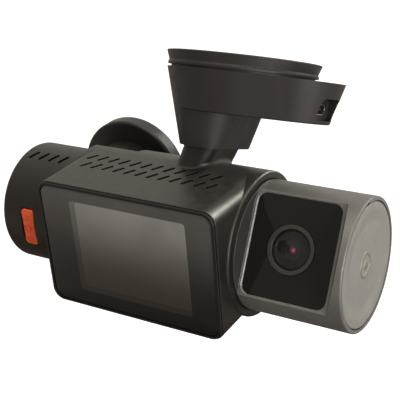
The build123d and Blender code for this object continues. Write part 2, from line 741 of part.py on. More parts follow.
def dome(plane, radius, thickness, rise):
    """A lens element: a round plate whose outer face rises to a shallow dome."""
    section = Plane(origin=plane.origin, x_dir=plane.x_dir, z_dir=-plane.y_dir)
    ball_r = (radius**2 + rise**2) / (2 * rise)
    half_way = thickness + rise - ball_r + sqrt(ball_r**2 - radius**2 / 4)
    with BuildPart() as lens:
        with BuildSketch(section):
            with BuildLine():
                Polyline((0, thickness + rise), (0, 0), (radius, 0), (radius, thickness))
                ThreePointArc((radius, thickness), (radius / 2, half_way), (0, thickness + rise))
            make_face()
        revolve(axis=Axis(plane.origin, plane.z_dir))
    return lens


save(dome(road(FRONT_GLASS_Y), 6.3, 1.0, 1.6), "front_lens_glass")

# ---------------------------------------------------------------- front camera: event button
with BuildPart() as button_flange:
    with BuildSketch(facing(10.0)):
        with Locations((BUTTON_X, 0)):
            RectangleRounded(BUTTON_W + 1.6, BUTTON_H + 1.6, 1.1)
    extrude(amount=15.0)
    with BuildSketch(across(BUTTON_X - BUTTON_W)):
        Circle(BUTTON_FLANGE_R)
        Circle(BUTTON_BACK_R, mode=Mode.SUBTRACT)
    extrude(amount=2 * BUTTON_W, mode=Mode.INTERSECT)

with BuildPart() as event_button:
    with BuildSketch(facing(10.0)):
        with Locations((BUTTON_X, 0)):
            RectangleRounded(BUTTON_W, BUTTON_H, 1.1)
    extrude(amount=15.0)
    with BuildSketch(across(BUTTON_X - BUTTON_W)):
        Circle(BUTTON_R)
        Circle(BUTTON_BACK_R, mode=Mode.SUBTRACT)
    extrude(amount=2 * BUTTON_W, mode=Mode.INTERSECT)
    add(button_flange.part)
save(event_button, "event_button")

EVENT_SWITCH_FRONT = 15.1
with BuildPart() as event_switch:
    with BuildSketch(facing(EVENT_SWITCH_FRONT - 1.6)):
        with Locations((BUTTON_X, 0)):
            Rectangle(5.2, 5.2)
    extrude(amount=1.1)
    with BuildSketch(facing(EVENT_SWITCH_FRONT - 0.5)):
        with Locations((BUTTON_X, 0)):
            Circle(1.6)
    extrude(amount=0.5)
save(event_switch, "event_switch")

with BuildPart() as event_circuit_board:
    with BuildSketch(facing(EVENT_SWITCH_FRONT - 2.6)):
        with Locations((BUTTON_X, 0)):
            Rectangle(9.0, 21.8)
    extrude(amount=1.0)
save(event_circuit_board, "event_circuit_board")

# ---------------------------------------------------------------- cabin camera: drum and end cap
CAP_R = 18.5
CAP_T = 1.9
CAP_GROOVE_R = 18.8
CAP_RING_R = 9.8
NOTCH_W = 3.0            # notch at the top of the groove round the cap
NOTCH_DEPTH = 0.7
CABIN_CAVITY_R = 17.8
CABIN_SKIN = 2.2
FLAT_FILLET = 1.0
WINDOW_X = (WINDOW_X0 + WINDOW_X1) / 2
WINDOW_T = 1.0
WINDOW_TOP = 12.05
WINDOW_CORNER = 2.75

with BuildPart() as cabin_drum:
    with BuildSketch(across(CABIN_BUSH_X + BUSH_LENGTH + 0.3)):
        Circle(BORE_R - 0.4)
    extrude(amount=CABIN_WALL_X - CABIN_BUSH_X - BUSH_LENGTH - 0.3)
    with BuildSketch(across(CABIN_WALL_X)):
        Circle(CABIN_R)
    extrude(amount=CABIN_X1 - CABIN_WALL_X)
    flat_side = Plane(origin=CENTRE, x_dir=(1, 0, 0), z_dir=Vector(1, 0, 0).cross(CABIN_OUT))
    with BuildSketch(flat_side) as flat_cut:
        with BuildLine():
            Polyline((CABIN_WALL_X, CABIN_FLAT), (CABIN_FLAT_X1, CABIN_FLAT), (CABIN_SLOPE_X1, CABIN_R),
                     (2 * CABIN_SLOPE_X1 - CABIN_FLAT_X1, 2 * CABIN_R - CABIN_FLAT),
                     (CABIN_WALL_X, 2 * CABIN_R - CABIN_FLAT), close=True)
        make_face()
        fillet(flat_cut.vertices().sort_by_distance((CABIN_FLAT_X1, CABIN_FLAT))[0], FLAT_FILLET)
    extrude(amount=2 * CABIN_R, both=True, mode=Mode.SUBTRACT)
    fillet(cabin_drum.edges().group_by(Axis.X)[-1], 0.5)
    with BuildSketch(across(CABIN_BUSH_X - 0.3 - RING_T)):
        Circle(SPIGOT_R)
    extrude(amount=BUSH_LENGTH + RING_T + 0.7)
    with BuildSketch(across(CABIN_BUSH_X + BUSH_LENGTH + 2.3)):
        Circle(CABIN_CAVITY_R)
    extrude(amount=CABIN_WALL_X - 1.8 - CABIN_BUSH_X - BUSH_LENGTH - 2.3, mode=Mode.SUBTRACT)
    with BuildSketch(across(CABIN_WALL_X - 1.8)):
        add(flat_profile(CABIN_FLAT - CABIN_SKIN, CABIN_CAVITY_R))
    extrude(amount=CABIN_X1 - CAP_T - CABIN_WALL_X + 1.8, mode=Mode.SUBTRACT)
    with BuildSketch(across(CABIN_BUSH_X - 2.0)):
        Circle(SPIGOT_BORE)
    extrude(amount=10.0, mode=Mode.SUBTRACT)
    with BuildSketch(across(CABIN_X1 - CAP_T)):
        Circle(CAP_GROOVE_R)
        with Locations((0, CAP_GROOVE_R)):
            Rectangle(NOTCH_W, NOTCH_DEPTH * 2)
    extrude(amount=CAP_T + 1.0, mode=Mode.SUBTRACT)
    with BuildSketch(on_flat(WINDOW_TOP - WINDOW_T)):
        with Locations((WINDOW_X - CABIN_LENS_X, 0)):
            RectangleRounded(WINDOW_X1 - WINDOW_X0, 2 * WINDOW_HALF, WINDOW_CORNER)
    extrude(amount=3.0, mode=Mode.SUBTRACT)
    with BuildSketch(on_flat(WINDOW_TOP + 0.1)):
        with Locations((WINDOW_X - CABIN_LENS_X, 0)):
            RectangleRounded(WINDOW_X1 - WINDOW_X0, 2 * WINDOW_HALF, WINDOW_CORNER)
    extrude(amount=0.8, taper=-45, mode=Mode.SUBTRACT)
    with BuildSketch(on_flat(WINDOW_TOP - WINDOW_T - 2.0)):
        with Locations((WINDOW_X - CABIN_LENS_X, 0)):
            RectangleRounded(WINDOW_X1 - WINDOW_X0 - 2.4, 2 * WINDOW_HALF - 2.4, WINDOW_CORNER - 1.2)
    extrude(amount=4.0, mode=Mode.SUBTRACT)
save(cabin_drum, "cabin_drum")

with BuildPart() as cabin_end_cap:
    with BuildSketch(across(CABIN_X1 - CAP_T)):
        Circle(CAP_R)
    extrude(amount=CAP_T - 0.1)
    fillet(cabin_end_cap.edges().group_by(Axis.X)[-1], 0.4)
    with BuildSketch(across(CABIN_X1 - 0.45)):
        Circle(12.4)
    extrude(amount=1.0, mode=Mode.SUBTRACT)
    with BuildSketch(across(CABIN_X1 - CAP_T - 2.5)):
        Circle(CAP_RING_R)
        Circle(CAP_RING_R - 1.5, mode=Mode.SUBTRACT)
    extrude(amount=2.5)
save(cabin_end_cap, "cabin_end_cap")

# ---------------------------------------------------------------- cabin camera: window and lens
RING_OUT = 7.2
RING_IN = 5.9
with BuildPart() as cabin_window:
    with BuildSketch(on_flat(WINDOW_TOP - WINDOW_T)):
        with Locations((WINDOW_X - CABIN_LENS_X, 0)):
            RectangleRounded(WINDOW_X1 - WINDOW_X0 - 0.2, 2 * WINDOW_HALF - 0.2, WINDOW_CORNER - 0.1)
        Circle(RING_OUT + 0.1, mode=Mode.SUBTRACT)
    extrude(amount=WINDOW_T)
save(cabin_window, "cabin_window")

with BuildPart() as cabin_lens_ring:
    with BuildSketch(on_flat(9.9)):
        Circle(RING_OUT)
        Circle(RING_IN, mode=Mode.SUBTRACT)
    extrude(amount=2.45)
    fillet(cabin_lens_ring.edges().filter_by(GeomType.CIRCLE).group_by(SortBy.DISTANCE)[-1], 0.2)
save(cabin_lens_ring, "cabin_lens_ring")

CABIN_BOARD_D = 0.4
CABIN_TUBE_R = 5.8
CABIN_TUBE_D = 11.3
CABIN_GLASS_D = 10.6
CABIN_GLASS_R = 5.3
with BuildPart() as cabin_sensor_board:
    with BuildSketch(on_flat(CABIN_BOARD_D)):
        Rectangle(24.0, 24.0)
    extrude(amount=BOARD_T)
save(cabin_sensor_board, "cabin_sensor_board")

with BuildPart() as cabin_image_sensor:
    with BuildSketch(on_flat(CABIN_BOARD_D + BOARD_T)):
        Rectangle(7.0, 6.5)
    extrude(amount=0.9)
save(cabin_image_sensor, "cabin_image_sensor")

with BuildPart() as cabin_lens_holder:
    with BuildSketch(on_flat(CABIN_BOARD_D + BOARD_T)):
        RectangleRounded(14.0, 14.0, 1.2)
    extrude(amount=5.2)
    with BuildSketch(on_flat(CABIN_BOARD_D + BOARD_T)):
        Rectangle(9.0, 9.0)
        Circle(CABIN_TUBE_R)
    extrude(amount=1.3, mode=Mode.SUBTRACT)
    with BuildSketch(on_flat(CABIN_BOARD_D + BOARD_T)):
        Circle(CABIN_TUBE_R)
    extrude(amount=8.0, mode=Mode.SUBTRACT)
save(cabin_lens_holder, "cabin_lens_holder")

with BuildPart() as cabin_lens_tube:
    with BuildSketch(on_flat(CABIN_BOARD_D + BOARD_T + 1.5)):
        Circle(CABIN_TUBE_R)
    extrude(amount=CABIN_TUBE_D - CABIN_BOARD_D - BOARD_T - 1.5)
    with BuildSketch(on_flat(CABIN_BOARD_D)):
        Circle(3.2)
    extrude(amount=14.0, mode=Mode.SUBTRACT)
    with BuildSketch(on_flat(CABIN_GLASS_D)):
        Circle(CABIN_GLASS_R + 0.1)
    extrude(amount=3.0, mode=Mode.SUBTRACT)
save(cabin_lens_tube, "cabin_lens_tube")

save(dome(on_flat(CABIN_GLASS_D), CABIN_GLASS_R, CABIN_TUBE_D - CABIN_GLASS_D, 0.8), "cabin_lens_glass")

LAMP_BOARD_D = 8.0
with BuildPart() as lamp_circuit_board:
    with BuildSketch(on_flat(LAMP_BOARD_D)):
        RectangleRounded(23.6, 26.0, 1.0)
        Circle(CABIN_TUBE_R + 0.4, mode=Mode.SUBTRACT)
    extrude(amount=1.0)
save(lamp_circuit_board, "lamp_circuit_board")

with BuildPart() as infrared_lamps:
    with BuildSketch(on_flat(LAMP_BOARD_D + 1.0)):
        with GridLocations(17.0, 19.0, 2, 2):
            Rectangle(3.2, 3.2)
    extrude(amount=0.9)
save(infrared_lamps, "infrared_lamps")

# ---------------------------------------------------------------- bracket: housing
HOUSING_WALL = 1.8
HOUSING_FLOOR = 39.3
HOUSING_ROOF = 48.6
CAVITY_X1 = 40.9
CAVITY_FLOOR_X1 = CAVITY_X1 - (HOUSING_ROOF - HOUSING_FLOOR) * tan(radians(DRAFT))
CEILING = 30.35
CEILING_T = 1.45
PORT_X = 42.5
PORT_W = 42.0
PORT_V = 0.4
POCKET_W = 13.4
POCKET_H = 6.4
USB_W = 8.94
USB_H = 3.26
PLATE_SCREWS = [(PAD_X + 16.4 * cos(radians(a)), 16.4 * sin(radians(a))) for a in (90, 205, 335)]

with BuildPart() as bracket_housing:
    with BuildSketch(under_stem(HOUSING_TOP)):
        add(nose_outline(HOUSING_TOP))
    extrude(amount=HOUSING_TOP - NOSE_FOOT, taper=DRAFT)
    fillet(bracket_housing.edges().sort_by(Axis(CENTRE, UP))[0:4], 0.5)
    with BuildSketch(under_stem(HOUSING_TOP - 0.2)):
        add(stem_outline(HOUSING_TOP - 0.2))
    extrude(amount=HOUSING_TOP - 0.2 - STEM_FOOT, taper=DRAFT)

    # inside of the nose, of the rim and of the stem
    with BuildSketch(under_stem(HOUSING_ROOF)):
        add(nose_outline(HOUSING_ROOF, HOUSING_WALL))
        with Locations((CAVITY_X1 + PLATE_R, 0)):
            Rectangle(2 * PLATE_R, 4 * PLATE_R, mode=Mode.SUBTRACT)
    extrude(amount=HOUSING_ROOF - HOUSING_FLOOR, taper=DRAFT, mode=Mode.SUBTRACT)
    with BuildSketch(on_stem(HOUSING_ROOF)):
        with Locations((PAD_X, 0)):
            Circle(PLATE_R - 2.4)
    extrude(amount=5.0, mode=Mode.SUBTRACT)
    with BuildSketch(under_stem(HOUSING_FLOOR)):
        add(stem_outline(HOUSING_FLOOR, HOUSING_WALL))
    extrude(amount=HOUSING_FLOOR - CEILING - CEILING_T, taper=DRAFT, mode=Mode.SUBTRACT)

    # the socket in the foot that takes the neck's post, and the window for the contacts
    with BuildSketch(under_stem(CEILING)):
        with Locations((STEM_X, 0)):
            RectangleRounded(2 * POST_HALF_X + 0.6, 2 * POST_HALF_Y + 0.6, 2.7)
    extrude(amount=5.0, mode=Mode.SUBTRACT)
    with BuildSketch(on_stem(CEILING - 1.0)):
        with Locations((STEM_X, 0)):
            RectangleRounded(7.8, 14.0, 1.0)
    extrude(amount=4.0, mode=Mode.SUBTRACT)

    # columns for the plate's screws
    for column in PLATE_SCREWS:
        with BuildSketch(under_stem(HOUSING_TOP)):
            with Locations((column[0], -column[1])):
                Circle(2.3)
        extrude(amount=HOUSING_TOP - HOUSING_FLOOR)
    with BuildSketch(under_stem(HOUSING_TOP)):
        with Locations([(x, -y) for x, y in PLATE_SCREWS]):
            Circle(1.05)
    extrude(amount=9.0, mode=Mode.SUBTRACT)

    # the recess in the nose's end and the hole for the power socket
    port_middle = CENTRE + Vector(PORT_X, 0, 0) + UP * PORT_W
    port_plane = Plane(origin=port_middle, x_dir=UP.cross(Vector(1, 0, 0)), z_dir=(1, 0, 0))
    with BuildSketch(port_plane):
        with Locations((PORT_V, 0)):
            RectangleRounded(POCKET_W, POCKET_H, 1.8)
    extrude(amount=12.0, mode=Mode.SUBTRACT)
    with BuildSketch(port_plane):
        with Locations((PORT_V, 0)):
            RectangleRounded(USB_W + 0.2, USB_H + 0.2, USB_H / 2)
    extrude(amount=-4.0, mode=Mode.SUBTRACT)
save(bracket_housing, "bracket_housing")

# ---------------------------------------------------------------- bracket: plate, pad and screws
PLATE_SEAT_R = 21.8      # the plate stands on the housing inside this radius
plate_middle = CENTRE + Vector(PAD_X, 0, 0)

with BuildPart() as bracket_plate:
    with BuildSketch(Plane(origin=plate_middle, x_dir=(1, 0, 0), z_dir=Vector(1, 0, 0).cross(UP))):
        with BuildLine():
            Polyline(
                (0, HOUSING_TOP + 0.05),
                (PLATE_SEAT_R, HOUSING_TOP + 0.05),
                (PLATE_SEAT_R, PLATE_FOOT),
                (PLATE_R - 0.7, PLATE_FOOT),
                (PLATE_R - 0.6, PLATE_FOOT + 0.6),
                (PLATE_R - 0.95, PLATE_FOOT + 1.2),
                (PLATE_R, PLATE_TOP - 0.2),
                (PLATE_R - 0.2, PLATE_TOP),
                (PAD_R + 0.15, PLATE_TOP),
                (PAD_R + 0.15, PAD_FOOT),
                (0, PAD_FOOT),
                close=True,
            )
        make_face()
    revolve(axis=Axis(plate_middle, UP))
    with BuildSketch(under_stem(PLATE_FOOT)):
        with Locations((PAD_X, 0)):
            Circle(PLATE_R - 2.6)
            Circle(PLATE_R - 4.2, mode=Mode.SUBTRACT)
        with Locations([(x, -y) for x, y in PLATE_SCREWS]):
            Circle(3.2, mode=Mode.SUBTRACT)
    extrude(amount=2.0)
    with BuildSketch(under_stem(PAD_FOOT)):
        with Locations([(x, -y) for x, y in PLATE_SCREWS]):
            Circle(1.2)
    extrude(amount=6.0, mode=Mode.SUBTRACT)
    with BuildSketch(under_stem(PAD_FOOT)):
        with Locations([(x, -y) for x, y in PLATE_SCREWS]):
            Circle(2.2)
    extrude(amount=1.7, mode=Mode.SUBTRACT)
save(bracket_plate, "bracket_plate")

with BuildPart() as plate_screws:
    with BuildSketch(under_stem(PAD_FOOT - 1.7)):
        with Locations([(x, -y) for x, y in PLATE_SCREWS]):
            Circle(1.0)
    extrude(amount=8.0)
    with BuildSketch(on_stem(PAD_FOOT - 1.7)):
        with Locations(PLATE_SCREWS):
            Circle(2.0)
    extrude(amount=1.3)
save(plate_screws, "plate_screws")

with BuildPart() as adhesive_pad:
    with BuildSketch(on_stem(PAD_FOOT)):
        with Locations((PAD_X, 0)):
            Circle(PAD_R)
    extrude(amount=PAD_HEIGHT - PAD_FOOT)
save(adhesive_pad, "adhesive_pad")

# ---------------------------------------------------------------- bracket: electronics
with BuildPart() as power_socket:
    with BuildSketch(port_plane):
        with Locations((PORT_V, 0)):
            RectangleRounded(USB_W, USB_H, USB_H / 2 - 0.05)
    extrude(amount=-7.3)
    with BuildSketch(port_plane):
        with Locations((PORT_V, 0)):
            RectangleRounded(USB_W - 0.6, USB_H - 0.6, USB_H / 2 - 0.35)
    extrude(amount=-6.3, mode=Mode.SUBTRACT)
save(power_socket, "power_socket")

with BuildPart() as socket_tongue:
    with BuildSketch(port_plane.offset(-0.7)):
        with Locations((PORT_V, 0)):
            Rectangle(6.7, 0.7)
    extrude(amount=-5.6)
save(socket_tongue, "socket_tongue")

with BuildPart() as bracket_circuit_board:
    with BuildSketch(on_stem(HOUSING_FLOOR)):
        add(nose_outline(HOUSING_FLOOR, HOUSING_WALL + 0.3))
        add(box_outline(4.2, CAVITY_FLOOR_X1 - 0.3, -10.5, 10.5), mode=Mode.INTERSECT)
        with Locations(PLATE_SCREWS):
            Circle(2.5, mode=Mode.SUBTRACT)
    extrude(amount=PORT_W - USB_H / 2 - HOUSING_FLOOR)
save(bracket_circuit_board, "bracket_circuit_board")

with BuildPart() as gps_antenna:
    with BuildSketch(on_stem(PORT_W - USB_H / 2)):
        with Locations((17.0, 0)):
            RectangleRounded(18.0, 18.0, 0.5)
    extrude(amount=4.0)
    with BuildSketch(on_stem(PORT_W - USB_H / 2 + 4.0)):
        with Locations((17.0, 0)):
            Rectangle(14.5, 14.5)
    extrude(amount=0.1)
save(gps_antenna, "gps_antenna")

with BuildPart() as contact_block:
    with BuildSketch(on_stem(CEILING)):
        with Locations((STEM_X, 0)):
            RectangleRounded(7.6, 13.8, 0.9)
    extrude(amount=3.2)
    with BuildSketch(on_stem(CEILING + CEILING_T)):
        with Locations((STEM_X, 0)):
            RectangleRounded(10.4, 17.0, 1.5)
    extrude(amount=3.2 - CEILING_T)
    with BuildSketch(on_stem(CEILING - 1.0)):
        with Locations(PIN_LOCATIONS):
            Circle(0.5)
    extrude(amount=6.0, mode=Mode.SUBTRACT)
    with BuildSketch(on_stem(CEILING + 0.4)):
        with Locations((STEM_X, MAGNET_V), (STEM_X, -MAGNET_V)):
            Circle(1.95)
    extrude(amount=4.0, mode=Mode.SUBTRACT)
save(contact_block, "contact_block")

with BuildPart() as spring_contacts:
    with BuildSketch(on_stem(POST_TOP + 0.1)):
        with Locations(PIN_LOCATIONS):
            Circle(0.45)
    extrude(amount=CEILING + 4.0 - POST_TOP)
    fillet(spring_contacts.edges().sort_by(Axis(CENTRE, UP))[0:CONTACTS], 0.2)
save(spring_contacts, "spring_contacts")

with BuildPart() as bracket_magnets:
    with BuildSketch(on_stem(CEILING + 0.4)):
        with Locations((STEM_X, MAGNET_V), (STEM_X, -MAGNET_V)):
            Circle(1.9)
    extrude(amount=2.8)
save(bracket_magnets, "bracket_magnets")
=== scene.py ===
"""Looks for a windscreen dash camera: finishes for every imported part, and detailed pieces. Some stand for
its display glass, button, end cap and lenses, and the rest are added. Metres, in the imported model's own
frame."""

import json
import math

import bmesh
import bpy
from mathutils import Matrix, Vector


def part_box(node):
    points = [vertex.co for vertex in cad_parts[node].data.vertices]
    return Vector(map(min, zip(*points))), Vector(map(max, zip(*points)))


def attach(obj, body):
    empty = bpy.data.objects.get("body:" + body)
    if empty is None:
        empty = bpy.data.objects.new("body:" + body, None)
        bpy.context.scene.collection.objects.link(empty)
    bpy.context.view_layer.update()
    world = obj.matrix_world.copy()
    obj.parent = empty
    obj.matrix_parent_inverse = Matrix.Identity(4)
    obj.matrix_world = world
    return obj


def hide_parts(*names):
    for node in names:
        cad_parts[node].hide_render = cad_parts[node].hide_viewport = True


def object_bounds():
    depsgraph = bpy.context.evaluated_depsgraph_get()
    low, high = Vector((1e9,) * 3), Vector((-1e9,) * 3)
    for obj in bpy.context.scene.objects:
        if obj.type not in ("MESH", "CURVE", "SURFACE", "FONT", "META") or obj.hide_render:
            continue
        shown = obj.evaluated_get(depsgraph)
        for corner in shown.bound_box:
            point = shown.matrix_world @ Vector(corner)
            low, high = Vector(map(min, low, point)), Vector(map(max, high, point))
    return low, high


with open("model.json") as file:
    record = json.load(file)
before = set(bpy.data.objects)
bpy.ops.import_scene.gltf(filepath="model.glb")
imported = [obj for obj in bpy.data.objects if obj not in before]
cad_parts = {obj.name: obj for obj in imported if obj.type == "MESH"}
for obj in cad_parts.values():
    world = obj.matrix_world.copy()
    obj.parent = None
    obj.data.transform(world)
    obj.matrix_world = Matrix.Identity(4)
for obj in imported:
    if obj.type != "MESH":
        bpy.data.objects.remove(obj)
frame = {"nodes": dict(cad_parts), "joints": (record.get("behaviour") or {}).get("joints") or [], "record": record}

CAD_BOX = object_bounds()
NODES = frame["nodes"]
JOINTS = {joint["name"]: joint for joint in frame["joints"]}
MM = 0.001


# ---------------------------------------------------------------- places, read from the frame
def middle(node):
    """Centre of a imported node's box."""
    low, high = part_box(node)
    return (low + high) / 2


STEM_UP = Vector(frame["record"]["mounts"][0]["axis"])      # from the body towards the windscreen
AXIS = Vector(JOINTS["cabin_camera_tilt"]["pos_m"])
AXIS.x = middle("lcd_panel").x                              # the body's axis at the display's middle
ALONG = Vector((1, 0, 0))
TOWARDS_ROAD = Vector((0, 1, 0))


def off_axis(point):
    """Direction square to the body's axis, from the axis to a point."""
    return Vector((0, point.y - AXIS.y, point.z - AXIS.z)).normalized()


CABIN_OUT = off_axis(middle("cabin_lens_tube"))             # the way the cabin lens looks
CABIN_LENS = Vector((middle("cabin_lens_tube").x, AXIS.y, AXIS.z))
FRONT_LENS = Vector((middle("front_lens_tube").x, AXIS.y, AXIS.z))


# ---------------------------------------------------------------- camera
CAMERA_PLACE = Vector((145.67, -212.80, 130.52)) * MM       # from AXIS
CAMERA_TURN = (64.610, 4.323, 30.637)                       # degrees
LENS_MM = 81.72
SENSOR_MM = 36
NEAREST_SEEN = 10 * MM


def make_camera():
    data = bpy.data.cameras.new("camera")
    data.sensor_width = SENSOR_MM
    data.lens = LENS_MM
    data.clip_start = NEAREST_SEEN
    camera = bpy.data.objects.new("camera", data)
    camera.location = AXIS + CAMERA_PLACE
    camera.rotation_euler = [math.radians(turn) for turn in CAMERA_TURN]
    bpy.context.scene.collection.objects.link(camera)
    bpy.context.scene.camera = camera


# ---------------------------------------------------------------- shader nodes
def add_node(tree, kind, inputs=(), **settings):
    """Adds a node, sets its attributes, and fills its inputs with values or links."""
    made = tree.nodes.new(kind)
    for name, value in settings.items():
        setattr(made, name, value)
    for name, value in dict(inputs).items():
        if isinstance(value, bpy.types.NodeSocket):
            tree.links.new(value, made.inputs[name])
        else:
            made.inputs[name].default_value = value
    return made


def mix_values(tree, factor, first, second):
    """The first value where the factor is 0, and the second where it is 1."""
    return add_node(tree, "ShaderNodeMix", {0: factor, 2: first, 3: second}).outputs[0]


def mix_colours(tree, factor, first, second):
    """The first colour where the factor is 0, and the second where it is 1."""
    return add_node(tree, "ShaderNodeMix", {0: factor, 6: first, 7: second}, data_type="RGBA").outputs[2]


def smooth_range(tree, value, low, high, to_low, to_high):
    """Maps one range to another, with a smooth start and end."""
    inputs = {"Value": value, "From Min": low, "From Max": high, "To Min": to_low, "To Max": to_high}
    return add_node(tree, "ShaderNodeMapRange", inputs, interpolation_type="SMOOTHSTEP").outputs["Result"]


EDGE_TURNS = (0.995, 0.9)    # cosine of the turn between true and softened normals: none, and a full edge


class Finish:
    """A material made of nodes around one Principled shader, patterned by the piece's own coordinates."""

    def __init__(self, name, colour, roughness, **sockets):
        self.material = bpy.data.materials.new(name)
        self.material.use_nodes = True
        self.tree = self.material.node_tree
        self.shader = self.tree.nodes["Principled BSDF"]
        self.colour = (*colour, 1)
        self.roughness = roughness
        self.shader.inputs["Base Color"].default_value = self.colour
        self.shader.inputs["Roughness"].default_value = roughness
        for socket, value in sockets.items():
            title = socket.replace("_", " ").title().replace("Ior", "IOR")
            self.shader.inputs[title].default_value = value
        self.place = self.node("ShaderNodeTexCoord").outputs["Object"]
        self.normal = None

    def node(self, kind, inputs=(), **settings):
        return add_node(self.tree, kind, inputs, **settings)

    def drive(self, socket, value):
        """Links a value to one of the shader's sockets."""
        self.tree.links.new(value, self.shader.inputs[socket])

    def maths(self, operation, *values):
        return self.node("ShaderNodeMath", enumerate(values), operation=operation).outputs[0]

    def vector(self, operation, *values, output=0):
        return self.node("ShaderNodeVectorMath", enumerate(values), operation=operation).outputs[output]

    def split(self, axis):
        """One coordinate of the place: X, Y or Z."""
        return self.node("ShaderNodeSeparateXYZ", {0: self.place}).outputs[axis]

    def spread(self, value, low, high, to_low=0.0, to_high=1.0):
        return smooth_range(self.tree, value, low, high, to_low, to_high)

    def noise(self, size, detail, stretch=(1, 1, 1)):
        """Noise with grains of about this size in metres, drawn out by stretch."""
        place = self.place
        if stretch != (1, 1, 1):
            place = self.vector("MULTIPLY", place, tuple(1 / share for share in stretch))
        inputs = {"Vector": place, "Scale": 1 / size, "Detail": detail}
        return self.node("ShaderNodeTexNoise", inputs).outputs["Fac"]

    def cells(self, size, feature="F1", metric="EUCLIDEAN"):
        """Distance within cells of about this size in metres."""
        inputs = {"Vector": self.place, "Scale": 1 / size}
        return self.node("ShaderNodeTexVoronoi", inputs, feature=feature, distance=metric).outputs["Distance"]

    def tint(self, factor, colour):
        """Mixes the colour so far with another one."""
        self.colour = mix_colours(self.tree, factor, self.colour, (*colour, 1))
        self.drive("Base Color", self.colour)
        return self

    def cloud(self, size, share, colour, low=0.35, high=0.7, detail=3):
        """Drifts by up to this share towards another colour, in clouds of about this size."""
        return self.tint(self.spread(self.noise(size, detail), low, high, 0, share), colour)

    def wear_and_edge_sheen(self, reach, share, colour):
        """Mixes in another colour along the edges: partly where handling polishes them, partly a painted highlight
        on the edges.
        """
        return self.tint(self.maths("MULTIPLY", self.edges(reach), share), colour)

    def vary(self, factor, roughness):
        """Moves the roughness towards another value where the factor is high."""
        self.roughness = mix_values(self.tree, factor, self.roughness, roughness)
        self.drive("Roughness", self.roughness)
        return self

    def round_edges(self, radius):
        """Softens the shading of sharp edges."""
        self.normal = self.node("ShaderNodeBevel", {"Radius": radius}, samples=4).outputs[0]
        self.drive("Normal", self.normal)
        return self

    def edges(self, reach):
        """High within about this distance of an edge."""
        smooth = self.node("ShaderNodeBevel", {"Radius": reach}, samples=4).outputs[0]
        true = self.node("ShaderNodeNewGeometry").outputs["Normal"]
        return self.spread(self.vector("DOT_PRODUCT", smooth, true, output="Value"), *EDGE_TURNS)

    def bump(self, height, depth):
        """Adds relief of this depth in metres."""
        inputs = {"Height": height, "Distance": depth, "Strength": 1.0}
        if self.normal is not None:
            inputs["Normal"] = self.normal
        self.normal = self.node("ShaderNodeBump", inputs).outputs[0]
        self.drive("Normal", self.normal)
        return self

    def radius_from(self, centre, axis):
        """Distance from a line, for marks that run round it."""
        away = self.vector("SUBTRACT", self.place, tuple(centre))
        run = self.vector("DOT_PRODUCT", away, tuple(axis), output="Value")
        inputs = {0: tuple(axis), "Scale": run}
        along = self.node("ShaderNodeVectorMath", inputs, operation="SCALE").outputs[0]
        return self.vector("LENGTH", self.vector("SUBTRACT", away, along), output="Value")

    def ripples(self, distance, pitch):
        """Waves of this pitch in metres along a distance."""
        return self.maths("SINE", self.maths("MULTIPLY", distance, 2 * math.pi / pitch))

    def turned(self, centre, axis, pitch, depth):
        """Fine rings left by a lathe."""
        return self.bump(self.ripples(self.radius_from(centre, axis), pitch), depth)


# ---------------------------------------------------------------- finishes
MOULD_GRAIN = 0.22 * MM
METAL_GRAIN = 0.12 * MM
BLAST_GRAIN = 0.16 * MM      # the blasted paint of the cabin camera's drum and cap
BLAST_DEPTH = 0.003 * MM


def moulded(name, colour, roughness, worn_and_sheen_colour, depth=0.006 * MM, **sockets):
    """Moulded plastic: a fine texture, slow changes of tone, and edges lightened to another colour, partly by
    handling and partly as a painted edge highlight.
    """
    finish = Finish(name, colour, roughness, **sockets)
    finish.cloud(9 * MM, 0.35, [share * 1.5 for share in colour])
    # lighter edges: partly rubbed by handling, partly a painted highlight along them
    finish.wear_and_edge_sheen(0.35 * MM, 0.5, worn_and_sheen_colour)
    finish.vary(finish.spread(finish.noise(2.5 * MM, 4), 0.35, 0.7), roughness * 1.18)
    finish.round_edges(0.18 * MM)
    return finish.bump(finish.noise(MOULD_GRAIN, 2), depth)


def metal(name, colour, roughness, metallic=1.0, grain=METAL_GRAIN, stretch=(1, 1, 1), depth=0.002 * MM):
    """Metal: faint clouding, a brushed or blasted grain, and edges softened by a hair."""
    finish = Finish(name, colour, roughness, metallic=metallic)
    finish.cloud(5 * MM, 0.4, [share * 0.8 for share in colour])
    finish.vary(finish.spread(finish.noise(1.5 * MM, 3), 0.35, 0.7), roughness * 1.25)
    finish.round_edges(0.1 * MM)
    return finish.bump(finish.noise(grain, 2, stretch), depth)


def inner(name, colour, roughness, size=1.2 * MM, share=0.35, **sockets):
    """A plain inner part: fine speckle and a light relief."""
    finish = Finish(name, colour, roughness, **sockets)
    finish.cloud(size, share, [tone * 0.6 for tone in colour], low=0.3)
    return finish.bump(finish.noise(0.25 * MM, 2), 0.004 * MM)


def body_plastic():
    """Satin black with a brown cast."""
    return moulded(
        "body_plastic_look", (0.0084, 0.0074, 0.0060), 0.36, worn_and_sheen_colour=(0.032, 0.028, 0.023),
        specular_tint=(1.0, 0.95, 0.86, 1), ior=1.5
    )


def shaded_frame_plastic():
    """The display's frame: the body's plastic, a deeper black as painted shade for the recessed groove it sits in.
    """
    return moulded("display_frame_shaded_look", (0.0045, 0.0043, 0.0040), 0.42, worn_and_sheen_colour=(0.012, 0.011, 0.010), ior=1.45)


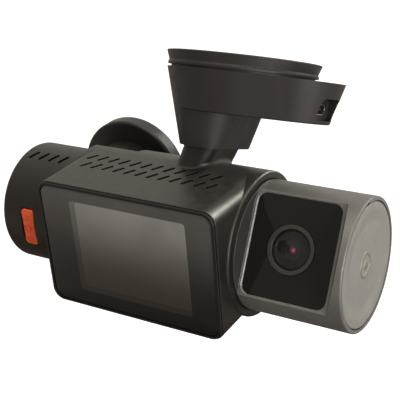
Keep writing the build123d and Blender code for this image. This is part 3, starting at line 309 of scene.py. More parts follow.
def bracket_plastic():
    """Coarser and greyer than the body, with faint warm painted reflections in bands down it."""
    finish = moulded(
        "bracket_plastic_look", (0.0165, 0.0156, 0.0148), 0.46, depth=0.008 * MM, worn_and_sheen_colour=(0.040, 0.038, 0.036),
        specular_tint=(1.0, 0.95, 0.93, 1), ior=1.48
    )
    # painted reflection: faint warm bands down the curved sides
    painted_reflection_band = finish.spread(finish.noise(6 * MM, 2, (1, 1, 8)), 0.5, 0.75, 0, 0.6)
    return finish.tint(painted_reflection_band, (0.034, 0.019, 0.018))


def hood_plastic():
    return moulded("hood_plastic_look", (0.0105, 0.0115, 0.0110), 0.34, worn_and_sheen_colour=(0.05, 0.053, 0.05), ior=1.52)


def key_rubber():
    return moulded("key_rubber_look", (0.012, 0.012, 0.012), 0.55, worn_and_sheen_colour=(0.03, 0.03, 0.03))


def button_orange():
    finish = moulded("button_orange_look", (0.80, 0.105, 0.022), 0.38, worn_and_sheen_colour=(0.95, 0.25, 0.10))
    return finish.cloud(1.2 * MM, 0.25, (0.66, 0.075, 0.015), low=0.4)


# A darker copy of the button's orange: painted shade for the mark's dark-edged look.
def shaded_button_mark_orange():
    return moulded("button_mark_shaded_look", (0.62, 0.070, 0.014), 0.42, worn_and_sheen_colour=(0.80, 0.16, 0.05))


SHADOW_LINE_END = 0.55 * MM      # end of the painted shade: past the shell's end, where the drum meets it
SHADOW_LINE_FADE = 0.1 * MM


def gunmetal():
    """Blasted grey paint with flakes in it, with painted shade in the narrow line where the drum meets the shell.
    """
    finish = metal(
        "gunmetal_look", (0.185, 0.180, 0.168), 0.38, metallic=0.35, grain=BLAST_GRAIN, depth=BLAST_DEPTH
    )
    flakes = finish.spread(finish.cells(0.2 * MM), 0.05, 0.35, 0.22, 0)
    finish.tint(flakes, (0.28, 0.27, 0.25))
    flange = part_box("front_shell")[1].x + SHADOW_LINE_END
    # painted shade and painted reflection: the drum dark brown in the narrow line where it meets the shell
    shadow = finish.spread(finish.split("X"), flange - SHADOW_LINE_FADE, flange, 0.85, 0)
    finish.tint(shadow, (0.030, 0.024, 0.020))
    # lighter edges: partly rubbed by handling, partly a painted highlight along them
    return finish.wear_and_edge_sheen(0.3 * MM, 0.4, (0.36, 0.35, 0.33))


def end_cap_satin():
    """The end cap's paint: lighter than the drum's, and without its flakes."""
    return metal(
        "end_cap_look", (0.300, 0.292, 0.272), 0.42, metallic=0.35, grain=BLAST_GRAIN, depth=BLAST_DEPTH
    )


def cover_glass_black():
    finish = Finish("cover_glass_black_look", (0.0115, 0.0110, 0.0095), 0.035, ior=1.3)
    finish.cloud(12 * MM, 0.5, (0.0140, 0.0132, 0.0115), 0.3, 0.8, detail=2)
    finish.vary(finish.spread(finish.noise(7 * MM, 4), 0.5, 0.8), 0.09)
    return finish.round_edges(0.12 * MM)


# painted reflection on the screens and border: lighter towards the top, and leaning to be lightest at the right
PAINTED_SHEEN_SLANT = 0.05
PAINTED_SHEEN_FALL = 2.0            # how steeply the painted reflection falls away down the screen
PAINTED_SHEEN_PAST = 1 * MM         # the fall runs this far past the panel
PIXEL_PITCH = 0.127 * MM
PIXEL_DEPTH = 0.0004 * MM


def screen(name, top, bottom, roughness, ior=1.6):
    """The panel seen through the glass, with a painted reflection: dark at its foot, grey at its top, lightest at
    the upper right.
    """
    low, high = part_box("lcd_panel")
    finish = Finish(name, bottom, roughness, ior=ior)
    split = finish.node("ShaderNodeSeparateXYZ", {0: finish.place})
    height = split.outputs["Z"]
    slope = finish.maths("ADD", height, finish.maths("MULTIPLY", split.outputs["X"], PAINTED_SHEEN_SLANT))
    lean = (low.x + high.x) / 2 * PAINTED_SHEEN_SLANT
    share = finish.spread(slope, low.z + lean - PAINTED_SHEEN_PAST, high.z + lean + PAINTED_SHEEN_PAST)
    # painted reflection: the top colour laid over the bottom one, stronger higher up
    finish.tint(finish.maths("POWER", share, PAINTED_SHEEN_FALL), top)
    finish.cloud(14 * MM, 0.2, bottom, high=0.75, detail=2)
    return finish.bump(finish.ripples(height, PIXEL_PITCH), PIXEL_DEPTH)


def lcd():
    return screen("lcd_look", (0.270, 0.262, 0.242), (0.030, 0.023, 0.017), 0.2)


# painted shadow: the panel's darker strip where the glass's printed border shades it
def lcd_margin():
    return screen("lcd_painted_shadow_look", (0.150, 0.145, 0.133), (0.016, 0.013, 0.010), 0.2)


# the printed border behind the glass, with the same painted reflection
def display_border():
    return screen("display_border_look", (0.078, 0.076, 0.070), (0.0060, 0.0060, 0.0050), 0.06, 1.5)


def circuit_board():
    """Green board with paler tracks and square gold pads."""
    finish = Finish("circuit_board_look", (0.010, 0.090, 0.045), 0.35, ior=1.5)
    tracks = finish.spread(finish.cells(1.6 * MM, "DISTANCE_TO_EDGE"), 0.03, 0.06, 1, 0)
    finish.tint(tracks, (0.030, 0.200, 0.100))
    pads = finish.spread(finish.cells(2.3 * MM, "F1", "CHEBYCHEV"), 0.10, 0.12, 1, 0)
    finish.tint(pads, (0.70, 0.50, 0.20))
    return finish.bump(finish.maths("ADD", tracks, pads), 0.02 * MM)


def adhesive_foam():
    finish = Finish("adhesive_foam_look", (0.016, 0.016, 0.016), 0.75)
    pores = finish.cells(0.35 * MM)
    finish.tint(finish.spread(pores, 0.2, 0.6, 0, 0.6), (0.035, 0.034, 0.033))
    finish.cloud(7 * MM, 0.4, (0.024, 0.024, 0.023), low=0.4)
    return finish.bump(pores, 0.05 * MM)


STRIPE_GAP = 5.2 * MM        # from the middle of a stripe to the middle of the gap beside it
STRIPE_HALF = 0.9 * MM


def capacitor_sleeve():
    """Blue shrink sleeve with pale stripes along it."""
    finish = Finish("capacitor_sleeve_look", (0.008, 0.016, 0.060), 0.28)
    across = finish.maths("PINGPONG", finish.split("Z"), STRIPE_GAP)
    finish.tint(finish.maths("LESS_THAN", across, STRIPE_HALF), (0.30, 0.32, 0.34))
    return finish.bump(finish.noise(1.8 * MM, 2, (4, 1, 1)), 0.01 * MM)


SILVER_DEPTH = 0.05 * MM     # the silvered patch takes the faces this near the block's top


def ceramic():
    """The aerial's ceramic block, with a silvered patch on its upper face."""
    finish = Finish("ceramic_look", (0.52, 0.44, 0.33), 0.55)
    finish.cloud(0.5 * MM, 0.5, (0.36, 0.30, 0.23), low=0.5)
    height = finish.vector("DOT_PRODUCT", finish.place, tuple(STEM_UP), output="Value")
    crown = max(STEM_UP.dot(vertex.co) for vertex in NODES["gps_antenna"].data.vertices)
    patch = finish.maths("GREATER_THAN", height, crown - SILVER_DEPTH)
    finish.tint(patch, (0.72, 0.71, 0.69))
    finish.drive("Metallic", patch)
    return finish.bump(finish.noise(0.3 * MM, 2), 0.01 * MM)


def ring_metal():
    finish = metal("ring_metal_look", (0.078, 0.075, 0.070), 0.34, metallic=0.7)
    return finish.turned(CABIN_LENS, CABIN_OUT, 0.16 * MM, 0.003 * MM)


def tube_metal():
    finish = metal("tube_metal_look", (0.012, 0.012, 0.012), 0.38, metallic=0.5)
    return finish.turned(FRONT_LENS, TOWARDS_ROAD, 0.3 * MM, 0.01 * MM)


def lens_glass():
    finish = Finish("lens_glass_look", (0.80, 0.78, 0.80), 0.0, transmission_weight=1.0, ior=1.42)
    return finish.bump(finish.noise(4 * MM, 1), 0.0002 * MM)


PAINTED_GLOW = (0.35 * MM, 0.95 * MM)        # radii where the painted glint's colour is full, and where it is gone
PAINTED_GLINT = (0.15 * MM, 0.40 * MM)       # the same for the paler painted spot in its middle
PAINTED_GLOW_SHARE = 0.8


def coated_lens(name, rim, painted_glint_colour, base, out):
    """An inner element, dark but for a painted glint of its coating in the middle."""
    finish = Finish(name, rim, 0.06, ior=1.2)
    reach = finish.radius_from(base, out)
    # painted glint: the coating's colour laid on the middle, paler at its centre
    finish.tint(finish.spread(reach, *PAINTED_GLOW, PAINTED_GLOW_SHARE, 0), painted_glint_colour)
    finish.tint(finish.spread(reach, *PAINTED_GLINT, PAINTED_GLOW_SHARE, 0), [(1 + share) / 2 for share in painted_glint_colour])
    return finish.bump(finish.noise(2 * MM, 1), 0.0002 * MM)


def chip_black():
    return inner("chip_black_look", (0.016, 0.016, 0.017), 0.5, 0.5 * MM)


def inner_plastic():
    return inner("inner_plastic_look", (0.022, 0.022, 0.022), 0.5)


def bush_plastic():
    return inner("bush_plastic_look", (0.70, 0.69, 0.63), 0.4, 3 * MM, 0.15)


def lamp_lens():
    return inner("lamp_lens_look", (0.09, 0.06, 0.05), 0.12, coat_weight=1.0)


def bare_aluminium():
    return metal("bare_aluminium_look", (0.74, 0.75, 0.76), 0.3, stretch=(1, 1, 30))


def steel():
    return metal("steel_look", (0.50, 0.50, 0.50), 0.28, stretch=(12, 1, 1))


def nickel():
    return metal("nickel_look", (0.70, 0.68, 0.64), 0.2)


def emblem_metal():
    return metal("emblem_look", (0.62, 0.60, 0.56), 0.3)


def gold_contact():
    return metal("gold_contact_look", (0.86, 0.60, 0.24), 0.22)


SLOTS = (
    body_plastic, bracket_plastic, hood_plastic, key_rubber, button_orange, gunmetal, cover_glass_black, lcd,
    circuit_board, adhesive_foam, capacitor_sleeve, ceramic, ring_metal, tube_metal, lens_glass, chip_black,
    inner_plastic, bush_plastic, lamp_lens, bare_aluminium, steel, nickel, gold_contact,
)


def dress_nodes():
    """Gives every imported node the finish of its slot; each function above has its slot's name."""
    made = {look.__name__: look().material for look in SLOTS}
    # the frame's darker copy of the body's plastic is painted shade
    shaded_frame_material = shaded_frame_plastic().material
    for node in NODES.values():
        for place in node.material_slots:
            place.material = made[place.material.name.split(".")[0]]
    NODES["display_frame"].material_slots[0].material = shaded_frame_material
    return made


# ---------------------------------------------------------------- mesh pieces
SMOOTH_TO = math.radians(32)
NEARLY_ALONG = 0.9           # cosine past which a direction counts as the body's own


def piece(name, bm, body, slot, *materials):
    """Turns a bmesh into a piece of the object that rides on a body."""
    bmesh.ops.recalc_face_normals(bm, faces=bm.faces)
    mesh = bpy.data.meshes.new(name)
    bm.to_mesh(mesh)
    bm.free()
    mesh.shade_smooth()
    mesh.set_sharp_from_angle(angle=SMOOTH_TO)
    for material in materials:
        mesh.materials.append(material)
    made = bpy.data.objects.new(name, mesh)
    bpy.context.scene.collection.objects.link(made)
    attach(made, body)
    return made


def rounded(width, height, corner, per_corner=8):
    """Points of a rounded rectangle about the origin."""
    points = []
    for quarter in range(4):
        turn = quarter * math.pi / 2
        sign_x = 1 if quarter in (0, 3) else -1
        sign_y = 1 if quarter in (0, 1) else -1
        centre = Vector((sign_x * (width / 2 - corner), sign_y * (height / 2 - corner)))
        for step in range(per_corner + 1):
            angle = turn + step / per_corner * math.pi / 2
            points.append(centre + corner * Vector((math.cos(angle), math.sin(angle))))
    return points


def circle(radius, count):
    """Points of a circle about the origin."""
    turns = [2 * math.pi * step / count for step in range(count)]
    return [radius * Vector((math.cos(turn), math.sin(turn))) for turn in turns]


def eased(size, steps):
    """Inset from the side and drop from the face, for each point round an eased edge, from the side up."""
    turns = [step / steps * math.pi / 2 for step in range(steps + 1)]
    return [(size * (1 - math.cos(turn)), size * (1 - math.sin(turn))) for turn in turns]


def arc(radius_0, height_0, radius_1, height_1, bulge, steps):
    """Points of a shallow curve between two profile points, bulging to the left of its run."""
    run = Vector((radius_1 - radius_0, height_1 - height_0))
    left = Vector((-run.y, run.x)).normalized()
    points = []
    for step in range(steps + 1):
        share = step / steps
        spot = Vector((radius_0, height_0)) + run * share + left * bulge * 4 * share * (1 - share)
        points.append((spot.x, spot.y))
    return points


def turned_loops(profile, centre, out, count):
    """A loop about a line for each (radius, height) pair of a profile."""
    side = ALONG if abs(out.dot(ALONG)) < NEARLY_ALONG else TOWARDS_ROAD
    up = out.cross(side)
    return [
        [centre + out * height + side * point.x + up * point.y for point in circle(radius, count)]
        for radius, height in profile
    ]


def add_rings(bm, loops):
    """Adds the vertices of each loop."""
    return [[bm.verts.new(point) for point in loop] for loop in loops]


def skin(bm, low, high, zone=0):
    """Joins two rings of equal length with a band of faces."""
    for step in range(len(low)):
        after = (step + 1) % len(low)
        bm.faces.new((low[step], low[after], high[after], high[step])).material_index = zone


def loft(bm, loops, zones=None):
    """Skins a row of loops of equal length and closes both ends. Zones give each skin's material."""
    rings = add_rings(bm, loops)
    zones = zones or [0] * (len(rings) - 1)
    for low, high, zone in zip(rings, rings[1:], zones):
        skin(bm, low, high, zone)
    bm.faces.new(rings[0])
    bm.faces.new(rings[-1]).material_index = zones[-1]


def hoop(bm, loops):
    """Skins a row of loops of equal length, and joins the last one to the first."""
    rings = add_rings(bm, loops)
    for low, high in zip(rings, rings[1:] + rings[:1]):
        skin(bm, low, high)


# ---------------------------------------------------------------- display
WINDOW_W = 40.64 * MM        # a two-inch panel's picture, 4:3
WINDOW_H = 30.48 * MM
WINDOW_CORNER = 1.1 * MM
PAINTED_SHADOW_WIDTH = 2.0 * MM             # painted shadow of the glass's mask on the panel: a dark strip at its left and lower edges
GLASS_CORNER = 3.0 * MM
GLASS_EASE = 0.22 * MM
BORDER_ZONE, PAINTED_SHADOW_ZONE, PICTURE_ZONE = 0, 1, 2


def make_display_glass(looks):
    """Cover glass with eased edges, a printed border, a painted shadow strip along the panel's left and lower
    edges, and its picture.
    """
    low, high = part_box("cover_glass")
    width, height, thickness = high.x - low.x, high.z - low.z, high.y - low.y
    centre = (low + high) / 2
    panel = middle("lcd_panel")
    shift = (panel.x - centre.x, panel.z - centre.z)
    inner_shift = (shift[0] + PAINTED_SHADOW_WIDTH / 2, shift[1] + PAINTED_SHADOW_WIDTH / 2)

    def loop(points, depth, move=(0, 0)):
        return [Vector((centre.x + p.x + move[0], low.y + depth, centre.z + p.y + move[1])) for p in points]

    loops = [loop(rounded(width, height, GLASS_CORNER), thickness)]
    for inset, depth in eased(GLASS_EASE, steps=4):
        outline = rounded(width - 2 * inset, height - 2 * inset, GLASS_CORNER - inset)
        loops.append(loop(outline, depth))
    loops.append(loop(rounded(WINDOW_W, WINDOW_H, WINDOW_CORNER), 0, shift))
    zones = [BORDER_ZONE] * (len(loops) - 1)
    loops.append(loop(rounded(WINDOW_W - PAINTED_SHADOW_WIDTH, WINDOW_H - PAINTED_SHADOW_WIDTH, WINDOW_CORNER), 0, inner_shift))
    bm = bmesh.new()
    loft(bm, loops, zones + [PAINTED_SHADOW_ZONE, PICTURE_ZONE])
    shadow_strip_material = lcd_margin().material
    border = display_border().material
    glass = piece("display_glass", bm, "camera_body", "cover_glass_black", border, shadow_strip_material, looks["lcd"])
    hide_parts("cover_glass")


# ---------------------------------------------------------------- event button
BUTTON_TOP = AXIS.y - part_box("event_button")[0].y           # the button's outer radius
BUTTON_FOOT = 15.9 * MM      # inner radius of its flange
FLANGE_TOP = 17.4 * MM       # outer radius of its flange
BUTTON_W = 4.9 * MM
BUTTON_H = 13.1 * MM
BUTTON_CORNER = 1.2 * MM
BUTTON_EASE = 0.35 * MM
EASED_CORNER = 0.8           # share of the inset that the corner's radius loses
FLANGE_OUT = 0.75 * MM
FACE_SHARES = (0.75, 0.5, 0.25, 0.05)                       # loops across the face, which follows the drum


def on_drum(x, around, radius):
    """A point on the front drum's side: x from the button's middle, around it by an arc length."""
    turn = around / BUTTON_TOP
    centre = middle("event_button")
    return Vector((centre.x + x, AXIS.y - radius * math.cos(turn), AXIS.z + radius * math.sin(turn)))


def make_event_button(looks):
    """The orange button: a flange under the drum's skin, and a cap with eased edges that follows the drum."""
    def loop(width, height, corner, radius):
        return [on_drum(p.x, p.y, radius) for p in rounded(width, height, corner, per_corner=10)]

    wide, tall = BUTTON_W + 2 * FLANGE_OUT, BUTTON_H + 2 * FLANGE_OUT
    loops = [
        loop(wide, tall, BUTTON_CORNER, BUTTON_FOOT),
        loop(wide, tall, BUTTON_CORNER, FLANGE_TOP),
        loop(BUTTON_W, BUTTON_H, BUTTON_CORNER, FLANGE_TOP),
    ]
    for inset, drop in eased(BUTTON_EASE, steps=5):
        corner = BUTTON_CORNER - inset * EASED_CORNER
        loops.append(loop(BUTTON_W - 2 * inset, BUTTON_H - 2 * inset, corner, BUTTON_TOP - drop))
    face_w, face_h = BUTTON_W - 2 * BUTTON_EASE, BUTTON_H - 2 * BUTTON_EASE
    face_corner = BUTTON_CORNER - BUTTON_EASE * EASED_CORNER
    for share in FACE_SHARES:
        loops.append(loop(face_w * share, face_h * share, face_corner * share, BUTTON_TOP))
    bm = bmesh.new()
    loft(bm, loops)
    cap = piece("event_button_cap", bm, "event_button", "button_orange", looks["button_orange"])
    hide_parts("event_button")


MARK_FOOT = BUTTON_TOP - 0.1 * MM
MARK_RISE = 0.14 * MM
MARK_TOP = BUTTON_TOP + MARK_RISE
EASE_START = 0.6             # share of a mark's rise where its eased edge starts
BAR_W, BAR_H, BAR_CORNER = 2.0 * MM, 0.5 * MM, 0.24 * MM
BAR_TOP_SHARE = 0.9          # the bar's top against its foot
BAR_SHIFTS = (-4.4 * MM, -3.2 * MM, 3.2 * MM, 4.4 * MM)
MARK_RADII = (1.35 * MM, 0.85 * MM)


def make_button_mark():
    """A plain raised mark: a ring between two pairs of short bars."""
    bm = bmesh.new()
    bar = rounded(BAR_W, BAR_H, BAR_CORNER)
    levels = ((1.0, MARK_FOOT), (1.0, BUTTON_TOP + EASE_START * MARK_RISE), (BAR_TOP_SHARE, MARK_TOP))
    for shift in BAR_SHIFTS:
        loft(bm, [
            [on_drum(p.x * share, p.y * share + shift, radius) for p in bar] for share, radius in levels
        ])
    outside, inside = [circle(radius, count=48) for radius in MARK_RADII]
    corners = ((outside, MARK_FOOT), (outside, MARK_TOP), (inside, MARK_TOP), (inside, MARK_FOOT))
    hoop(bm, [[on_drum(p.x, p.y, radius) for p in points] for points, radius in corners])
    piece("event_button_mark", bm, "event_button", "button_orange", shaded_button_mark_orange().material)


# ---------------------------------------------------------------- cabin camera's end cap
CAP_CENTRE = Vector((0, AXIS.y, AXIS.z))
CAP_LIP = 1.9 * MM           # how far the cap's back lies inside the drum's end
CAP_EASE = 0.4 * MM
SPIGOT_IN = 8.3 * MM         # the ring behind the cap that locates it in the drum
SPIGOT_OUT = 9.8 * MM
DISH_DEPTH = 0.6 * MM
DISH_RADIUS = 17.0 * MM      # where the dish starts
DISH_SLOPE = 4.6 * MM        # how far in its slope runs
DISH_STEPS = 14
DISH_RADII = (9.0 * MM, 6.0 * MM, 3.0 * MM, 0.4 * MM)       # loops across its flat floor


def make_end_cap():
    """The round cap: an eased rim, a softly dished middle, and the ring that locates it inside. Returns the
    place of the dish's floor along the body."""
    low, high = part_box("cabin_end_cap")
    foot, face = low.x, high.x
    radius = (high.z - low.z) / 2
    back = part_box("cabin_drum")[1].x - CAP_LIP
    profile = [(SPIGOT_IN, back), (SPIGOT_IN, foot), (SPIGOT_OUT, foot), (SPIGOT_OUT, back), (radius, back)]
    profile += [(radius - inset, face - drop) for inset, drop in eased(CAP_EASE, steps=5)]
    for step in range(DISH_STEPS + 1):
        share = step / DISH_STEPS
        fall = share * share * (3 - 2 * share)
        profile.append((DISH_RADIUS - DISH_SLOPE * share, face - DISH_DEPTH * fall))
    profile += [(reach, face - DISH_DEPTH) for reach in DISH_RADII]
    bm = bmesh.new()
    loft(bm, turned_loops(profile, CAP_CENTRE, ALONG, count=160))
    cap = piece("end_cap", bm, "cabin_camera", "gunmetal", end_cap_satin().material)
    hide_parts("cabin_end_cap")
    return face - DISH_DEPTH


EMBLEM_RISE = 0.09 * MM
EMBLEM_SINK = 0.1 * MM
EMBLEM_EASE = 0.1 * MM
EMBLEM_IN, EMBLEM_OUT = 3.0 * MM, 4.0 * MM
EMBLEM_DOT, DOT_TIP = 1.4 * MM, 0.1 * MM                    # its radius, and that of the last loop on its top


def make_emblem(floor):
    """A plain inlay on the floor of the cap's dish: a ring round a dot."""
    foot = floor - EMBLEM_SINK
    side = floor + EASE_START * EMBLEM_RISE
    top = floor + EMBLEM_RISE
    ring = [
        (EMBLEM_IN, foot), (EMBLEM_OUT, foot), (EMBLEM_OUT, side), (EMBLEM_OUT - EMBLEM_EASE, top),
        (EMBLEM_IN + EMBLEM_EASE, top), (EMBLEM_IN, side),
    ]
    dot = [(EMBLEM_DOT, foot), (EMBLEM_DOT, side), (EMBLEM_DOT - EMBLEM_EASE, top), (DOT_TIP, top)]
    bm = bmesh.new()
    hoop(bm, turned_loops(ring, CAP_CENTRE, ALONG, count=96))
    loft(bm, turned_loops(dot, CAP_CENTRE, ALONG, count=48))
    piece("end_cap_emblem", bm, "cabin_camera", "nickel", emblem_metal().material)


# ---------------------------------------------------------------- lenses
MOUTH_GAP = 0.05 * MM        # from the tube's lining to the outer element
FOOT_GAP = 0.8 * MM          # from the tube's foot to its lining
BAFFLE_STEPS = 5
BAFFLE_TREAD = 0.9           # share of a step's width that its tread takes
BAFFLE_LIP = 0.05 * MM       # rise of the tread towards the bore
BAFFLE_FALL = 0.7            # share of the tube's depth that the steps go down
ELEMENT_DROP = 0.8 * MM      # from the mouth down to the inner element
ELEMENT_EDGE = 0.4 * MM      # its thickness at the rim
ELEMENT_RISE = 0.5 * MM      # from its rim to its crown
ELEMENT_BULGE = 0.08         # how far its curve stands off a straight line, as a share of its radius
ELEMENT_TIP = 0.02 * MM      # radius of the tiny flat at its crown
DOME_BULGE = 0.045           # the same two for the outer element
DOME_TIP = 0.03 * MM


def make_baffles(name, body, bore, throat, foot, mouth, base, out, looks):
    """Blackened steps down a lens tube, from its mouth to its throat."""
    profile = [(bore, foot), (bore, mouth)]
    for step in range(BAFFLE_STEPS):
        share = (step + 1) / BAFFLE_STEPS
        radius = bore + (throat - bore) * share
        level = mouth + (foot - mouth) * share * BAFFLE_FALL
        tread = (bore - throat) / BAFFLE_STEPS * BAFFLE_TREAD
        profile += [(radius + tread, level + BAFFLE_LIP), (radius, level)]
    profile.append((throat, foot))
    bm = bmesh.new()
    hoop(bm, turned_loops(profile, base, out, count=96))
    piece(f"{name}_baffles", bm, body, "tube_metal", looks["tube_metal"])


def make_inner_element(name, body, bore, mouth, base, out, painted_glint_colour, rim):
    """A coated element across the tube, a little below its mouth."""
    level = mouth - ELEMENT_DROP
    curve = arc(bore, level, ELEMENT_TIP, level + ELEMENT_RISE, bore * ELEMENT_BULGE, steps=8)
    bm = bmesh.new()
    loft(bm, turned_loops([(bore, level - ELEMENT_EDGE)] + curve, base, out, count=64))
    coat = coated_lens(f"{name}_coating_look", rim, painted_glint_colour, base, out).material
    piece(f"{name}_inner_element", bm, body, "lens_glass", coat)


def make_front_element(name, body, node, radius, foot, edge, crown, base, out, looks):
    """The outer element: a straight edge and a shallow dome."""
    curve = arc(radius, edge, DOME_TIP, crown, radius * DOME_BULGE, steps=14)
    bm = bmesh.new()
    loft(bm, turned_loops([(radius, foot)] + curve, base, out, count=96))
    front = piece(f"{name}_front_element", bm, body, "lens_glass", looks["lens_glass"])
    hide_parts(node)


def span_along(node, base, out):
    """How near and how far a node reaches along a direction from a point, and its radius about that line."""
    heights, reach = [], 0.0
    for vertex in NODES[node].data.vertices:
        away = vertex.co - base
        height = away.dot(out)
        heights.append(height)
        reach = max(reach, (away - out * height).length)
    return min(heights), max(heights), reach


LENSES = (
    # name, body, glass node, tube node, a point on its line, the way it looks,
    # bore, throat, colours of the coating's painted glint and of the glass round it, edge's share of the glass
    ("cabin_lens", "cabin_camera", "cabin_lens_glass", "cabin_lens_tube", CABIN_LENS, CABIN_OUT,
     3.15 * MM, 1.0 * MM, (0.95, 0.12, 0.22), (0.004, 0.005, 0.005), 0.467),
    ("front_lens", "front_camera", "front_lens_glass", "front_lens_tube", FRONT_LENS, TOWARDS_ROAD,
     4.45 * MM, 1.6 * MM, (0.20, 0.30, 0.62), (0.006, 0.005, 0.010), 0.385),
)


def make_lenses(looks):
    for name, body, node, tube, base, out, bore, throat, painted_glint_colour, rim, edge_share in LENSES:
        foot, crown, radius = span_along(node, base, out)
        tube_foot, _, _ = span_along(tube, base, out)
        edge = foot + (crown - foot) * edge_share
        mouth = foot - MOUTH_GAP
        make_baffles(name, body, bore, throat, tube_foot + FOOT_GAP, mouth, base, out, looks)
        make_inner_element(name, body, bore, mouth, base, out, painted_glint_colour, rim)
        make_front_element(name, body, node, radius, foot, edge, crown, base, out, looks)


# ---------------------------------------------------------------- contacts on the body's neck
PADS = 4
PAD_W, PAD_H, PAD_CORNER = 2.4 * MM, 1.0 * MM, 0.4 * MM
PAD_TOP = (2.3 * MM, 0.9 * MM, 0.38 * MM)                   # width, height and corner of its eased top
PAD_LEVELS = (-0.22 * MM, -0.14 * MM, -0.10 * MM)           # foot, side and top, from the springs' feet
PAD_INSET = 0.45 * MM        # from the end of the row of springs to the middle of a pad


def make_contact_pads(looks):
    """Gold pads on the plate that meets the bracket's spring contacts."""
    spring = NODES["spring_contacts"].data.vertices
    foot = min(STEM_UP.dot(vertex.co) for vertex in spring)
    low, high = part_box("spring_contacts")
    ahead = STEM_UP.cross(ALONG)
    reaches = sorted(ahead.dot(vertex.co) for vertex in spring)
    first, last = reaches[0] + PAD_INSET, reaches[-1] - PAD_INSET
    side = rounded(PAD_W, PAD_H, PAD_CORNER)
    outlines = (side, side, rounded(*PAD_TOP))
    bm = bmesh.new()
    for index in range(PADS):
        place = first + (last - first) * index / (PADS - 1)
        centre = ALONG * (low.x + high.x) / 2 + ahead * place + STEM_UP * foot
        loft(bm, [
            [centre + ALONG * p.x + ahead * p.y + STEM_UP * level for p in outline]
            for outline, level in zip(outlines, PAD_LEVELS)
        ])
    piece("contact_pads", bm, "camera_body", "gold_contact", looks["gold_contact"])


# ---------------------------------------------------------------- floor and light
FLOOR_DROP = 0.26
FLOOR_HALF = 4.0
FLOOR_CELLS = 8
FLOOR_SHADE = (0.18, 0.65)   # from near to far; painted shade on the floor under the object, so that its underside stays deep
FLOOR_NEAR = (0.075, 0.064, 0.054)
FLOOR_FAR = (0.48, 0.46, 0.43)
FLOOR_SEEN = (0.88, 0.875, 0.865)    # the camera sees a pale floor, which lights nothing
FLOOR_GLOW = (1, 1, 0.99, 1)
FLOOR_LIFT = 0.4             # and a glow that takes it up to the backdrop's white


def make_floor():
    bm = bmesh.new()
    bmesh.ops.create_grid(bm, x_segments=FLOOR_CELLS, y_segments=FLOOR_CELLS, size=FLOOR_HALF)
    mesh = bpy.data.meshes.new("floor")
    bm.to_mesh(mesh)
    bm.free()
    floor = bpy.data.objects.new("floor", mesh)
    floor.location.z = -FLOOR_DROP
    bpy.context.scene.collection.objects.link(floor)
    finish = Finish("floor_look", FLOOR_NEAR, 0.8, emission_color=FLOOR_GLOW)
    reach = finish.vector("LENGTH", finish.place, output="Value")
    # painted shade: the floor dark near the object, paler farther off
    finish.tint(finish.spread(reach, *FLOOR_SHADE), FLOOR_FAR)
    to_camera = finish.node("ShaderNodeLightPath").outputs["Is Camera Ray"]
    finish.tint(to_camera, FLOOR_SEEN)
    finish.drive("Emission Strength", finish.maths("MULTIPLY", to_camera, FLOOR_LIFT))
    mesh.materials.append(finish.material)


BEHIND, AHEAD, ABOVE = 0.62, 0.30, 0.30      # the room's brightness towards the road, the cabin and the sky
ROOM_TURN = 0.9                              # how far each change of brightness runs, from -1 to 1
ROOM_TONE = (1, 0.945, 0.865, 1)
BACKDROP, BACKDROP_TONE = 1.0, (1, 1, 1, 1)     # what the camera sees


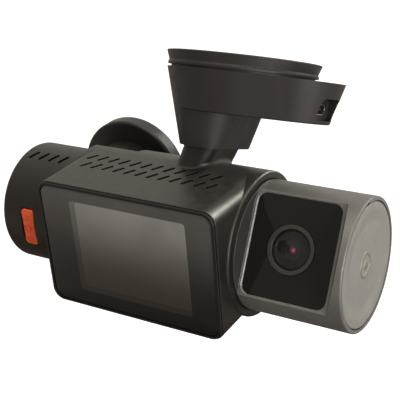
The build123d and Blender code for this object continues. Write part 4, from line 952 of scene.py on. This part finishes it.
def make_room():
    """Warm, soft light from all round, brighter from the road and from above; the camera sees white."""
    world = bpy.data.worlds.new("studio")
    world.use_nodes = True
    bpy.context.scene.world = world
    tree = world.node_tree
    direction = add_node(tree, "ShaderNodeTexCoord").outputs["Generated"]
    split = add_node(tree, "ShaderNodeSeparateXYZ", {0: direction})
    towards_road = smooth_range(tree, split.outputs["Y"], -ROOM_TURN, ROOM_TURN, AHEAD, BEHIND)
    upwards = smooth_range(tree, split.outputs["Z"], 0.0, ROOM_TURN, 0.0, ABOVE)
    total = add_node(tree, "ShaderNodeMath", {0: towards_road, 1: upwards}, operation="ADD").outputs[0]
    to_camera = add_node(tree, "ShaderNodeLightPath").outputs["Is Camera Ray"]
    background = tree.nodes["Background"]
    tree.links.new(mix_values(tree, to_camera, total, BACKDROP), background.inputs["Strength"])
    tree.links.new(mix_colours(tree, to_camera, ROOM_TONE, BACKDROP_TONE), background.inputs["Color"])


LIGHTS = (
    # name, direction from the object, distance, width, radiance, colour
    ("back_light", (0.40, 0.75, 0.52), 1.1, 0.55, 4.0, (1.0, 1.0, 0.96)),
    ("edge_light", (0.36, 0.77, 0.52), 1.1, 0.90, 14.0, (0.95, 1.0, 0.93)),
    ("side_light", (0.92, -0.38, 0.12), 1.1, 0.80, 6.0, (0.98, 0.98, 1.0)),
    ("top_light", (0.05, -0.10, 1.0), 1.4, 1.10, 1.75, (1.0, 0.90, 0.76)),
)
EDGE_LIT = ("front_shell", "rear_cover")
EDGE_SHADED = EDGE_LIT + ("cabin_drum", "cabin_end_cap", "front_drum")


def limit_edge_light(light):
    """The light that draws the display block's edge falls on its shell alone, and passes the bracket."""
    for purpose, names in (("receiver_collection", EDGE_LIT), ("blocker_collection", EDGE_SHADED)):
        chosen = bpy.data.collections.new(f"{light.name}_{purpose}")
        for name in names:
            chosen.objects.link(NODES[name])
        setattr(light.light_linking, purpose, chosen)


def make_lights():
    """Round lamps that the camera doesn't see, each as bright as its radiance whatever its width."""
    centre = (CAD_BOX[0] + CAD_BOX[1]) / 2
    for name, direction, distance, width, radiance, colour in LIGHTS:
        data = bpy.data.lights.new(name, "AREA")
        data.shape = "DISK"
        data.size = width
        data.color = colour
        data.energy = radiance * math.pi * math.pi * (width / 2) ** 2
        light = bpy.data.objects.new(name, data)
        away = Vector(direction).normalized()
        light.location = centre + away * distance
        light.rotation_mode = "QUATERNION"
        light.rotation_quaternion = away.to_track_quat("Z", "Y")
        light.visible_camera = False
        bpy.context.scene.collection.objects.link(light)
        if name == "edge_light":
            limit_edge_light(light)


# ---------------------------------------------------------------- the whole scene
bpy.context.scene.view_settings.view_transform = "Standard"
make_camera()
looks = dress_nodes()
make_display_glass(looks)
make_event_button(looks)
make_button_mark()
make_emblem(make_end_cap())
make_lenses(looks)
make_contact_pads(looks)
make_floor()
make_room()
make_lights()
